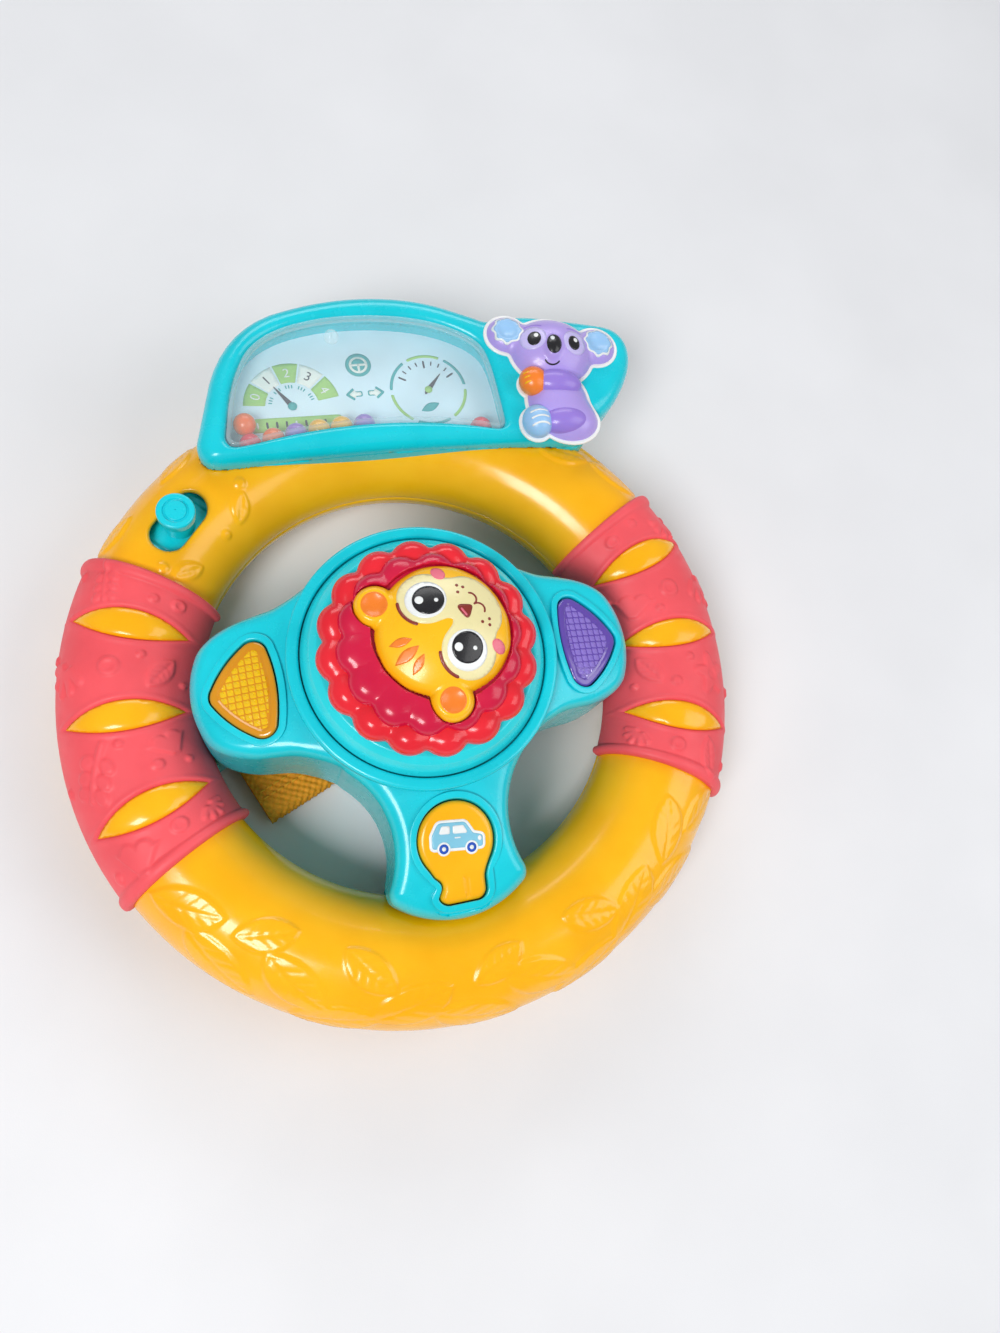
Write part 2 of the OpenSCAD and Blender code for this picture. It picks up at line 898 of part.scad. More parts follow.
module outer_mane() {
    color(red)
        difference() {
            union() {
                post([0, 0], mane_r - lobe_r, mane_z, mane_deck + cut);
                lobes(mane_n, mane_r, lobe_r, mane_z + 1);
            }
            post([0, 0], mane_r + cut, 0, mane_z);
            post([0, 0], tuft_reach + 0.2, mane_deck, sky);
        }
}

module lion_frame() {
    rotate([0, 0, lion_turn])
        translate([0, -face_shift, 0])
            children();
}

module head_posts(grow, z0, z1) {
    lion_frame() {
        post([0, 0], face_r + grow, z0, z1);
        for (s = [-1, 1])
            post([s * ear_out, ear_up], ear_r + grow, z0, z1);
    }
}

module inner_mane() {
    color(crimson)
        difference() {
            union() {
                post([0, 0], tuft_reach - tuft_r, tuft_z, tuft_deck + cut);
                lobes(tuft_n, tuft_reach, tuft_r, tuft_z + 0.6);
            }
            post([0, 0], tuft_reach + cut, 0, tuft_z);
            head_posts(0.2, tuft_deck, sky);
        }
}

module lion_face() {
    color(yellow)
        intersection() {
            head_posts(0, face_z, sky);
            lion_frame() {
                translate([0, 0, face_crown - face_dome])
                    sphere(face_dome);
                for (s = [-1, 1])
                    translate([s * ear_out, ear_up, face_z])
                        sphere(ear_r);
            }
        }
}

module spinner_cam() {
    color(white)
        slab(cam_top - cam_t, cam_top - 2 * snug)
            difference() {
                union() {
                    circle(cam_r);
                    for (k = [1 : cam_n])
                        rotate(360 * k / cam_n)
                            translate([cam_r, 0])
                                circle(cam_lobe_r);
                }
                circle(screw_r + snug);
            }
}

module spinner_screw() {
    color(steel)
        screw_up([0, 0], cam_top - cam_t - snug - head_h, head_h + cam_t + spinner_bite / 2);
}

// Buttons: outlines grow by a spread for collars and openings.
module signal_outline(spread) {
    r = signal_corner;
    base = signal_x + r;
    half = signal_w / 2 - r;
    soft_outline([[base, -half - signal_drop], [signal_x + signal_l - 1.3 * r, -signal_drop],
        [base, half - signal_drop]], r + spread);
}

module key_outline(spread) {
    r = 3;
    notch_r = 1.3;
    half = key_blade_w / 2 - r;
    difference() {
        union() {
            translate([0, -key_y])
                circle(key_r + spread);
            soft_outline([[-half, -key_y - key_blade_l + r], [half, -key_y - key_blade_l + r],
                [half, -key_y], [-half, -key_y]], r + spread);
        }
        if (spread < notch_r)
            for (y = [0.62, 0.8])
                translate([-key_blade_w / 2 - spread, -key_y - y * key_blade_l])
                    circle(notch_r - spread / 2);
    }
}

module button_body(skirt_z, stem_at, rise) {
    intersection() {
        slab(skirt_z - snug, sky)
            children(0);
        front_dome(rise);
    }
    slab(skirt_z - signal_flange_t, skirt_z - snug)
        children(1);
    post(stem_at, stem_r, stem_z, skirt_z - signal_flange_t + snug);
}

module collar(skirt_z) {
    intersection() {
        slab(skirt_z, sky)
            difference() {
                children(0);
                children(1);
            }
        front_dome(collar_proud);
    }
}

module signal_button() {
    button_body(signal_skirt_z, [signal_stem_x, -signal_drop], 0.4) {
        signal_outline(0);
        signal_outline(flange_lap);
    }
}

module left_signal_button() {
    color(amber)
        mirror([1, 0, 0])
            signal_button();
}

module right_signal_button() {
    color(violet)
        signal_button();
}

module key_button() {
    color(yellow)
        button_body(key_skirt_z, [0, -key_y], 0) {
            key_outline(0);
            key_outline(flange_lap);
        }
}

module signal_collar() {
    color(teal)
        collar(signal_skirt_z) {
            signal_outline(button_gap + collar_w);
            signal_outline(button_gap);
        }
}

module left_signal_collar() {
    mirror([1, 0, 0])
        signal_collar();
}

module right_signal_collar() {
    signal_collar();
}

module key_collar() {
    color(teal)
        collar(key_skirt_z) {
            key_outline(button_gap + collar_w);
            key_outline(button_gap);
        }
}

// A silicone dome under a button's stem.
module rubber(at) {
    color(white)
        translate([at.x, at.y, board_top])
            difference() {
                cylinder(r1 = rubber_r, r2 = stem_r, h = rubber_h);
                translate([0, 0, -snug])
                    cylinder(r1 = rubber_r - 1, r2 = stem_r - 1, h = rubber_h - 1);
            }
}

module left_signal_rubber() {
    rubber([-signal_stem_x, -signal_drop]);
}

module right_signal_rubber() {
    rubber([signal_stem_x, -signal_drop]);
}

module key_rubber() {
    rubber([0, -key_y]);
}

module circuit_board() {
    reach = [side_boss.x, foot_boss.y] - (boss_r + 0.3) * [1, 1];
    color(board_green)
        slab(board_z, board_top - snug)
            difference() {
                intersection() {
                    casing_outline(board_inset);
                    translate(-reach)
                        square(2 * reach);
                }
                for (p = board_posts)
                    translate(p)
                        circle(screw_r + slack);
            }
}

module board_chips() {
    color(black) {
        translate([blob_at.x, blob_at.y, board_top - blob_h])
            intersection() {
                sphere(blob_r);
                post([0, 0], blob_r, blob_h, blob_r);
            }
        for (p = chip_points)
            translate([p.x, p.y, board_top + chip_size.z / 2])
                cube(chip_size, center = true);
        for (p = can_points)
            post(p, can_r, board_top, board_top + can_h);
    }
}

module signal_lamps() {
    color(white)
        for (s = [-1, 1])
            translate([s * (signal_x + lamp_in), lamp_y, board_top]) {
                cylinder(r = lamp_r, h = lamp_h);
                translate([0, 0, lamp_h])
                    sphere(lamp_r);
            }
}

module motion_sensor() {
    color(steel)
        post(sensor_at, sensor_r, board_top, board_top + sensor_h);
}

module cam_switch() {
    color(black)
        translate([cam_r + cam_lobe_r + cam_switch_gap, -cam_switch_size.y / 2, board_top])
            cube([cam_switch_size.x, cam_switch_size.y, cam_top - board_top]);
}

module board_screws() {
    color(steel)
        for (p = board_posts)
            screw_down(p, board_top, board_bite);
}

module speaker() {
    color(black) {
        post(speaker_at, speaker_r, speaker_z, speaker_z + speaker_rim);
        post(speaker_at, speaker_r * 0.8, speaker_z, speaker_z + speaker_step);
        post(speaker_at, speaker_r * 0.6, speaker_z, speaker_z + speaker_h);
    }
}

module speaker_leads() {
    color(red)
        for (s = [-1, 1])
            post(speaker_at + [s * speaker_r * 0.7, 0], 0.5, speaker_z + speaker_step, board_z);
}

module along_x(at, r, length) {
    translate(at)
        rotate([0, 90, 0])
            cylinder(r = r, h = length, center = true);
}

// The two cells lie side by side, each turned the other way.
module cells() {
    nub_l = 0.8;
    nub_r = 1.9;
    color(steel)
        for (s = [-1, 1]) {
            along_x([s * nub_l / 2, bay_y + s * cell_pitch / 2, cell_z], cell_d / 2, cell_l - nub_l);
            along_x([-s * (cell_l - nub_l) / 2, bay_y + s * cell_pitch / 2, cell_z], nub_r, nub_l);
        }
}

module battery_contacts() {
    plate_t = 0.4;
    plate_w = 8;
    coil_r = 2.6;
    coil_l = bay_half_x - plate_t - cell_l / 2 - snug;
    color(steel)
        for (s = [-1, 1], t = [-1, 1]) {
            y = bay_y + t * cell_pitch / 2;
            translate([s * (bay_half_x - plate_t / 2 - snug), y, cell_z])
                cube([plate_t, plate_w, plate_w], center = true);
            along_x([s * (bay_half_x - plate_t - coil_l / 2 - snug / 2), y, cell_z], coil_r, coil_l - snug);
        }
}

module battery_door() {
    color(teal)
        difference() {
            slab(0, door_t - snug)
                door_outline(0);
            post(door_screw, screw_r + slack, -cut, door_t + cut);
            post(door_screw, head_d / 2 + 0.3, -cut, door_t - 0.8);
        }
}

module door_screw() {
    color(steel)
        screw_up(door_screw, 0.2, 9, head_height = door_t - 1.1);
}

module power_switch_body() {
    low = floor_t + switch_plate.z + 2 * plate_gap;
    color(black)
        translate([switch_at.x, switch_at.y, low])
            difference() {
                translate([-switch_body.x / 2, -switch_body.y / 2, 0])
                    cube(switch_body);
                cube([switch_pin.x + 2 * switch_travel + switch_room, switch_pin.y + switch_room,
                    2 * switch_pin.z], center = true);
            }
}

module power_switch_knob() {
    sunk = 0.6;
    color(white)
        translate([switch_at.x, switch_at.y, 0]) {
            translate([-switch_plate.x / 2, -switch_plate.y / 2, floor_t + plate_gap])
                cube(switch_plate);
            translate([-switch_nub / 2, -switch_nub / 2, sunk])
                cube([switch_nub, switch_nub, floor_t]);
            translate([-switch_pin.x / 2, -switch_pin.y / 2, floor_t + switch_plate.z])
                cube(switch_pin);
        }
}

// The dash: a shallow box let into the rim, moved inwards by an inset.
module dash_outline(inset) {
    difference() {
        union() {
            soft_outline(body_points, body_round - inset);
            soft_outline(lobe_points, lobe_round - inset);
        }
        translate(body_bow_at)
            circle(body_bow_r + inset, $fn = 720);
    }
}

// The bead tray's outline, with a floor that bows up in the middle.
module tray_outline(inset) {
    difference() {
        soft_outline(tray_points, tray_round - inset);
        translate(tray_bow_at)
            circle(tray_bow_r + inset, $fn = 360);
    }
}

// The outside of the tray's wall, clear of the dash's own wall and bosses.
module tray_wall(inset) {
    difference() {
        intersection() {
            tray_outline(inset - window_lap);
            dash_outline(dash_wall + 0.3);
        }
        for (p = dash_screw_points)
            translate(p)
                circle(dash_boss_r + 0.3);
    }
}

module dash_front() {
    color(teal)
        difference() {
            union() {
                difference() {
                    slab(dash_part_z, dash_face)
                        dash_outline(0);
                    slab(dash_part_z - cut, dash_face - face_t)
                        dash_outline(dash_wall);
                }
                slab(dash_part_z, dash_face - cut)
                    tray_outline(-window_lap);
                slab(card_z + card_t + snug, dash_part_z + cut)
                    tray_wall(0);
                for (p = dash_screw_points)
                    post(p, dash_boss_r, dash_part_z + snug, dash_face - face_t / 2);
            }
            slab(0, window_z)
                tray_outline(0);
            slab(window_z - snug, dash_face - face_t)
                tray_outline(-0.1);
            slab(0, sky)
                tray_outline(window_lap);
            for (p = dash_screw_points)
                post(p, dash_screw_r + snug, 0, dash_face - face_t - 0.6);
        }
}

module dash_rear() {
    color(teal)
        difference() {
            union() {
                difference() {
                    slab(dash_back, dash_part_z - 0.1)
                        dash_outline(0);
                    slab(dash_back + pan_floor, dash_part_z)
                        dash_outline(dash_wall);
                }
                for (p = dash_screw_points)
                    post(p, dash_boss_r, dash_back, dash_part_z - 0.1);
                for (a = dash_post_angles)
                    post(on_rim(a), boss_r, rim_z + snug, dash_back + pan_floor / 2);
            }
            for (p = dash_screw_points) {
                post(p, dash_screw_r + slack, 0, sky);
                post(p, dash_head_r + 0.2, 0, dash_back + dash_head_h + 0.3);
            }
            for (a = dash_post_angles)
                post(on_rim(a), screw_r + snug, 0, rim_z + casing_bite);
        }
}

module dash_window() {
    boss_at = [-8, 112];
    boss_r = 2.4;
    top = dash_face - 0.5;
    color([0.9, 0.97, 1, 0.35]) {
        slab(window_z + snug, window_z + window_t)
            tray_outline(0.1);
        slab(window_z + window_t - snug, top)
            tray_outline(window_lap + 0.15);
        post(boss_at, boss_r, top - cut, top + 2);
    }
}

module dial_card() {
    color(white)
        slab(card_z, card_z + card_t)
            tray_wall(0.3);
}

module dash_screws() {
    color(steel)
        for (p = dash_screw_points)
            screw_up(p, dash_back + 0.2, dash_face - face_t - 1.2 - dash_back, dash_screw_r, dash_head_r,
                dash_head_h);
}

// The koala: a rounded relief figure on the dash's right lobe.
module koala() {
    deck = dash_face + 0.1;
    color(lavender)
        difference() {
            union() {
                for (b = concat(koala_head, koala_body))
                    translate([b.x, b.y, deck + b.z])
                        sphere(b[3]);
            }
            slab(0, deck)
                square(4 * rim_d, center = true);
        }
}

// Loose beads: each colour in its own module.
module bead(at) {
    translate([at.x, at.y, bead_z])
        sphere(bead_r);
}

function tray_floor(x) =
    tray_bow_at.y + sqrt(pow(tray_bow_r + bead_r + 0.1, 2) - pow(x - tray_bow_at.x, 2));

function row_bead(k) = [row_start + k * bead_pitch, tray_floor(row_start + k * bead_pitch)];

module red_beads() {
    color(red)
        bead(row_bead(0));
}

module loose_bead() {
    loose_x = 36.5;
    color(red)
        bead([loose_x, tray_floor(loose_x)]);
}

module orange_beads() {
    color([0.95, 0.45, 0.1]) {
        bead(row_bead(1));
        bead(row_bead(0) + bead_pitch * [-0.12, 0.99]);
    }
}

module purple_beads() {
    color([0.5, 0.35, 0.75]) {
        bead(row_bead(2));
        bead(row_bead(5));
    }
}

module yellow_beads() {
    color(yellow) {
        bead(row_bead(3));
        bead(row_bead(4));
    }
}

// The strap: a flattened loop of webbing round its bar.
module stadium(length, height) {
    r = height / 2;
    translate([r, -r])
        square([length - height, height]);
    for (x = [r, length - r])
        translate([x, 0])
            circle(r);
}

module strap() {
    color([0.84, 0.59, 0.08])
        strap_frame()
            translate([0, 0, bar_z])
                rotate([90, 0, 0])
                    linear_extrude(strap_w, center = true)
                        difference() {
                            stadium(strap_l, strap_h);
                            translate([strap_t, 0])
                                stadium(strap_l - 2 * strap_t, strap_h - 2 * strap_t);
                        }
}

module strap_bar() {
    color(steel)
        strap_frame()
            translate([bar_from_end, 0, bar_z])
                rotate([90, 0, 0])
                    cylinder(d = strap_bar_d, h = strap_bar_l, center = true);
}

rim_front_shell();
rim_rear_shell();
left_grip();
right_grip();
rim_screws();
slider_knob();
slider_plate();
slider_track();
hub_front_casing();
hub_rear_casing();
casing_screws();
bezel_ring();
spinner_dome();
outer_mane();
inner_mane();
lion_face();
spinner_cam();
spinner_screw();
left_signal_button();
right_signal_button();
key_button();
left_signal_collar();
right_signal_collar();
key_collar();
left_signal_rubber();
right_signal_rubber();
key_rubber();
circuit_board();
board_chips();
signal_lamps();
motion_sensor();
cam_switch();
board_screws();
speaker();
speaker_leads();
cells();
battery_contacts();
battery_door();
door_screw();
power_switch_body();
power_switch_knob();
dash_front();
dash_rear();
dash_window();
dial_card();
koala();
dash_screws();
red_beads();
loose_bead();
orange_beads();
yellow_beads();
purple_beads();
strap();
strap_bar();
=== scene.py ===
"""Looks for the toy steering wheel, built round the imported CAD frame. Lengths are in millimetres
until a piece is made; then they turn into metres."""
import math

import bpy
import numpy as np
from mathutils import Matrix, Vector
from mathutils.geometry import delaunay_2d_cdt


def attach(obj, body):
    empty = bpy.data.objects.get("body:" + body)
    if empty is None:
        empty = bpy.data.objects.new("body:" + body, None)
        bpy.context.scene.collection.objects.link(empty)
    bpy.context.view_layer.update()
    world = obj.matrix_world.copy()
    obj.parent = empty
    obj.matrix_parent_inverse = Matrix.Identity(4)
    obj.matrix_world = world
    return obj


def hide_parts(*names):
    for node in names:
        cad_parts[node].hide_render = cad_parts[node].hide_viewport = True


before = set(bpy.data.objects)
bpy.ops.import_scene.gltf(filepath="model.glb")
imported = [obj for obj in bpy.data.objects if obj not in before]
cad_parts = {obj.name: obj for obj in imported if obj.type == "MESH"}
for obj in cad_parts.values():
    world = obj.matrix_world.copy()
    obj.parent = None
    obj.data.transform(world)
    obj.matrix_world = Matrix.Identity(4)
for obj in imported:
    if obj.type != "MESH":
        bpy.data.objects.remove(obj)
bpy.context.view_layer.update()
MM = 0.001

# Sizes that follow the CAD source
RIM_R, TUBE_R, RIM_Z = 85.5, 19.5, 20.5
GRIP_R, GRIP_ARC = 21.1, 30.0
DOME_R, DOME_TOP = 180.0, 60.6
DOME_Z = DOME_TOP - DOME_R
SEAT_Z, RING_R, RING_W, RING_TOP = 55.5, 39.2, 3.6, 60.4
SPIN_R, SPIN_TOP = 35.2, 66.5
MANE_Z, TUFT_Z, FACE_Z = 66.6, 70.7, 73.2
LION_TURN, FACE_SHIFT, FACE_SIZE = math.radians(119), 3.9, 1.06
SLOT_ANGLE = math.radians(137.5)
DASH_BACK, DASH_PART, DASH_FACE = 33.2, 40.0, 46.8
SPOKE_HALF, SPOKE_TAPER, SPOKE_END_X, SPOKE_END_R = 28.0, 0.15, 38.5, 28.0
FOOT_END_Y, FOOT_END_R = 45.2, 29.3
HOLLOW, HOLLOW_R = (45.0, -50.3), 28.0


# Distance fields: negative inside, arrays of points
def length(v):
    return np.sqrt((v * v).sum(-1))


def cut(a, b, r=0.01):
    """What is in both a and b, with edges rounded to r."""
    u, v = np.maximum(a + r, 0), np.maximum(b + r, 0)
    return np.minimum(np.maximum(a, b), -r) + np.sqrt(u * u + v * v)


def join(a, b, r=0.01):
    """What is in a or b, with a fillet of r between them."""
    u, v = np.maximum(r - a, 0), np.maximum(r - b, 0)
    return np.maximum(np.minimum(a, b), r) - np.sqrt(u * u + v * v)


def ball(p, at, radii):
    """An ellipsoid; near its surface the value is close to a distance."""
    radii = np.array(radii, float)
    q = (p - np.array(at, float)) / radii
    k = length(q)
    return k * (k - 1) / np.maximum(length(q / radii), 1e-9)


def disc(xy, at, r):
    return np.hypot(xy[:, 0] - at[0], xy[:, 1] - at[1]) - r


def block(xy, at, half, r=0.5):
    q = np.abs(xy - np.array(at, float)) - np.array(half, float) + r
    return length(np.maximum(q, 0)) + np.minimum(q.max(1), 0) - r


def polygon(p, pts):
    pts = np.asarray(pts, float)
    d, s = np.full(len(p), 1e9), np.ones(len(p))
    for a, b in zip(pts, np.roll(pts, 1, 0)):
        e, w = b - a, p - a
        q = w - np.clip(w @ e / (e @ e), 0, 1)[:, None] * e
        d = np.minimum(d, (q * q).sum(1))
        up, low = p[:, 1] >= a[1], p[:, 1] < b[1]
        side = e[0] * w[:, 1] > e[1] * w[:, 0]
        s[(up & low & side) | ~(up | low | side)] *= -1
    return s * np.sqrt(d)


def soft(d, w):
    """1 inside and 0 outside, with a smooth step of width w."""
    x = np.clip(0.5 - d / w, 0, 1)
    return x * x * (3 - 2 * x)


def round_off(d, r):
    """How far a rounded edge of radius r lies below a flat top, at a distance d inside the outline."""
    return r * (1 - np.sqrt(1 - np.clip(1 + d / r, 0, 1) ** 2))


def lip(d, depth, w):
    """How far a wall's free edge draws in, at a distance d from it."""
    return depth * np.clip(1 - d / w, 0, 1) ** 2


def turn(p, angle):
    """Points of the plane in a frame that is turned by an angle."""
    c, s = math.cos(angle), math.sin(angle)
    return np.stack([p[..., 0] * c + p[..., 1] * s, p[..., 1] * c - p[..., 0] * s], -1)


def gradient(f, p, e=0.02):
    g = np.zeros_like(p)
    for k in ((1, -1, -1), (-1, -1, 1), (-1, 1, -1), (1, 1, 1)):
        k = np.array(k, float)
        g += k * f(p + k * e)[:, None]
    return g / (4 * e)


def lattice(*axes):
    """All combinations of the axes' values, one in a row, the last axis fastest."""
    return np.stack(np.meshgrid(*axes, indexing="ij"), -1).reshape(-1, len(axes))


def net(f, lo, hi, step):
    """Quads on the zero surface of a field, their corners moved onto it, and its normals."""
    n = 8
    lo = np.array(lo, float)
    count = np.ceil((np.array(hi, float) - lo) / (step * n)).astype(int)
    block_at = lattice(*[np.arange(k) for k in count])
    block_at = block_at[np.abs(f(lo + (block_at + 0.5) * step * n)) < 1.2 * step * n]
    grid = lattice(*[np.arange(n + 1)] * 3)
    value = np.concatenate([f((lo + (b[:, None] * n + grid) * step).reshape(-1, 3))
                            for b in np.array_split(block_at, max(1, len(block_at) // 1500))])
    value = value.reshape(-1, n + 1, n + 1, n + 1)
    corner = lattice(*[[0, 1]] * 3)
    v8 = np.stack([value[:, x:x + n, y:y + n, z:z + n] for x, y, z in corner], -1)
    inside = v8 < 0
    live = np.argwhere(inside.any(-1) & ~inside.all(-1))
    v8 = v8[tuple(live.T)]
    cell = block_at[live[:, 0]] * n + live[:, 1:]
    total, hits = np.zeros((len(cell), 3)), np.zeros(len(cell))
    for i in range(8):
        for j in (i + 1, i + 2, i + 4):
            if j < 8 and np.abs(corner[i] - corner[j]).sum() == 1:
                m = (v8[:, i] < 0) != (v8[:, j] < 0)
                t = (v8[m, i] / (v8[m, i] - v8[m, j]))[:, None]
                total[m] += corner[i] + t * (corner[j] - corner[i])
                hits[m] += 1
    p = lo + (cell + total / hits[:, None]) * step
    size = count * n + 2
    key = ((cell[:, 0] + 1) * size[1] + cell[:, 1] + 1) * size[2] + cell[:, 2] + 1
    order = np.argsort(key)
    key, p, v8 = key[order], p[order], v8[order]
    stride = (size[1] * size[2], size[2], 1)
    faces = []
    for axis in range(3):
        a, b = stride[(axis + 1) % 3], stride[(axis + 2) % 3]
        far = (4, 2, 1)[axis]
        m = (v8[:, 0] < 0) != (v8[:, far] < 0)
        k = key[m]
        quad = np.stack([k, k - a, k - a - b, k - b], 1)
        at = np.searchsorted(key, quad).clip(0, len(key) - 1)
        ok = (key[at] == quad).all(1)
        quad = at[ok]
        back = v8[m, far][ok] < 0
        quad[back] = quad[back][:, ::-1]
        faces.append(quad)
    for _ in range(3):
        g = gradient(f, p)
        p -= (np.clip(f(p), -step, step) / np.maximum((g * g).sum(1), 0.3))[:, None] * g
    g = gradient(f, p)
    normal = g / np.maximum(length(g), 1e-9)[:, None]
    quads = np.concatenate(faces)
    corner = p[quads]
    facing = (np.cross(corner[:, 2] - corner[:, 0], corner[:, 3] - corner[:, 1]) * normal[quads[:, 0]]).sum(1)
    return p, quads if np.median(facing) > 0 else quads[:, ::-1], normal


def drop(f, xy, top, low, step=0.4):
    """Heights at which a field's surface is first met from above."""
    z = np.full(len(xy), float(top))
    at = lambda h: f(np.column_stack([xy, h]))
    out = at(z) > 0
    while out.any() and z.min() > low:
        z[out] -= step
        out &= (at(z) > 0) & (z > low)
    a, b = z + step, z.copy()
    for _ in range(18):
        m = (a + b) / 2
        above = at(m) > 0
        a, b = np.where(above, m, a), np.where(above, b, m)
    return b


# Outlines in the plane
def polar(at, r, degrees):
    """The point at a distance and in a direction from another."""
    a = math.radians(degrees)
    return at[0] + r * math.cos(a), at[1] + r * math.sin(a)


def arc(cx, cy, rx, ry, a0=0, a1=360, n=48):
    t = np.radians(np.linspace(a0, a1, n, endpoint=abs(a1 - a0) < 360))
    return np.column_stack([cx + rx * np.cos(t), cy + ry * np.sin(t)])


def band(at, r0, r1, a0, a1, n=24):
    return np.vstack([arc(*at, r1, r1, a0, a1, n), arc(*at, r0, r0, a1, a0, n)])


def bowed(points, bow):
    """An outline, anticlockwise, whose sides bow outwards by a share of their length."""
    t = np.linspace(0, 1, 8, endpoint=False)[:, None]
    sides = []
    for a, b in zip(np.array(points, float), np.roll(points, -1, 0)):
        e = b - a
        sides.append(a + e * t + np.array([e[1], -e[0]]) * bow * 4 * t * (1 - t))
    return np.concatenate(sides)


def rounded(pts, r, steps=5):
    """A closed profile with its corners rounded; r is one radius or one for each corner."""
    pts = [np.array(q, float) for q in pts]
    r = [r] * len(pts) if np.isscalar(r) else r
    out = []
    for k, q in enumerate(pts):
        a, b = pts[k - 1] - q, pts[(k + 1) % len(pts)] - q
        la, lb = np.hypot(*a), np.hypot(*b)
        half = math.acos(np.clip(a @ b / la / lb, -1, 1)) / 2
        if r[k] < 1e-6 or half > 1.55:
            out.append(q)
            continue
        back = min(r[k] / math.tan(half), 0.48 * la, 0.48 * lb)
        s, e = q + a / la * back, q + b / lb * back
        for t in np.linspace(0, 1, steps + 1):
            out.append((1 - t) ** 2 * s + 2 * t * (1 - t) * q + t * t * e)
    return np.array(out)


def soft_outline(centres, r, steps=10):
    """A convex outline with round corners, from the corner circles' centres in turn."""
    c = np.array(centres, float)
    side = np.roll(c, -1, 0) - c
    facing = np.arctan2(-side[:, 0], side[:, 1])
    out = []
    for k in range(len(c)):
        sweep = (facing[k] - facing[k - 1]) % (2 * math.pi)
        for t in np.linspace(0, 1, steps + 1):
            a = facing[k] + sweep * (t - 1)
            out.append(c[k] + r * np.array([math.cos(a), math.sin(a)]))
    return np.array(out)


def eased(points, loops=3):
    """An open line with its corners cut again and again, which turns them into curves."""
    q = np.array(points, float)
    for _ in range(loops):
        near, far = q[:-1], q[1:]
        quarters = np.stack([0.75 * near + 0.25 * far, 0.25 * near + 0.75 * far], 1)
        q = np.vstack([q[:1], quarters.reshape(-1, 2), q[-1:]])
    return q


def even(outline, step):
    """A closed outline resampled at even steps."""
    q = np.vstack([outline, outline[:1]])
    d = np.concatenate([[0], np.cumsum(length(np.diff(q, axis=0)))])
    t = np.linspace(0, d[-1], max(8, int(d[-1] / step)), endpoint=False)
    return np.column_stack([np.interp(t, d, q[:, k]) for k in (0, 1)])


def stroke(points, width, n=9):
    """The outline of a line with round ends."""
    q = np.array(points, float)
    t = np.gradient(q, axis=0)
    t /= length(t)[:, None]
    side = np.column_stack([-t[:, 1], t[:, 0]]) * width / 2
    a = np.linspace(0, math.pi, n)[1:-1]
    end = lambda c, d: c + width / 2 * (np.outer(np.cos(a), (d[1], -d[0])) + np.outer(np.sin(a), d))
    return np.vstack([q - side, end(q[-1], t[-1]), (q + side)[::-1], end(q[0], -t[0])])


def moved(outline, at, angle=0.0, size=1.0):
    return turn(np.asarray(outline, float) * size, -math.radians(angle)) + np.array(at, float)


def level_path(field, seed, n=220):
    """Points on the lines at equal distance outside an outline; seed is a point inside it."""
    a = np.linspace(0, 2 * math.pi, n, endpoint=False)
    ray = np.column_stack([np.cos(a), np.sin(a)])
    reach = 70.0

    def path(spread):
        lo, hi = np.zeros(n), np.full(n, reach)
        for _ in range(40):
            m = (lo + hi) / 2
            far = field(np.array(seed) + ray * m[:, None]) > spread
            lo, hi = np.where(far, lo, m), np.where(far, m, hi)
        return np.array(seed) + ray * ((lo + hi) / 2)[:, None]

    return path


# Pieces
def piece(name, p, faces, mat, body="wheel", node=None, slot=None, normals=None, sharp=40):
    """A mesh that rides on a body; node is the CAD node that it stands for."""
    me = bpy.data.meshes.new(name)
    groups = [np.asarray(g) for g in (faces if isinstance(faces, list) else [faces]) if len(g)]
    me.vertices.add(len(p))
    me.vertices.foreach_set("co", (np.asarray(p) * MM).astype(np.float32).ravel())
    loops = np.concatenate([g.ravel() for g in groups])
    sizes = np.concatenate([np.full(len(g), g.shape[1]) for g in groups])
    me.loops.add(len(loops))
    me.loops.foreach_set("vertex_index", loops.astype(np.int32))
    me.polygons.add(len(sizes))
    me.polygons.foreach_set("loop_start", np.concatenate([[0], np.cumsum(sizes)[:-1]]).astype(np.int32))
    me.update(calc_edges=True)
    me.validate()
    me.shade_smooth()
    if sharp:
        me.set_sharp_from_angle(angle=math.radians(sharp))
    if normals is not None:
        me.normals_split_custom_set_from_vertices(normals.tolist())
    ob = bpy.data.objects.new(name, me)
    bpy.context.scene.collection.objects.link(ob)
    me.materials.append(mat)
    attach(ob, body)
    if node:
        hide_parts(node)
    return ob


def solid(name, f, lo, hi, step, mat, **kw):
    p, faces, n = net(f, lo, hi, step)
    return piece(name, p, faces, mat, normals=n, sharp=0, **kw)


def thicken(ob, mm):
    mod = ob.modifiers.new("wall", "SOLIDIFY")
    mod.thickness, mod.offset, mod.use_even_offset = mm * MM, -1, False
    return ob


def open_shell(p, faces, n, keep, wall, name, mat, **kw):
    """A solid's skin without the faces that are left open, thickened inwards."""
    faces = faces[keep(p[faces].mean(1), n[faces].mean(1))]
    used, faces = np.unique(faces, return_inverse=True)
    ob = piece(name, p[used], faces.reshape(-1, 4), mat, normals=n[used], sharp=0, **kw)
    return thicken(ob, wall)


def weave_grid(nu, nv, wrap_u=False, wrap_v=False):
    """Quads of a grid whose points are stored row by row, nv in a row."""
    i = np.arange(nu if wrap_u else nu - 1)[:, None]
    j = np.arange(nv if wrap_v else nv - 1)[None]
    a, b = (i + 1) % nu, (j + 1) % nv
    return np.stack([i * nv + j, a * nv + j, a * nv + b, i * nv + b], -1).reshape(-1, 4)


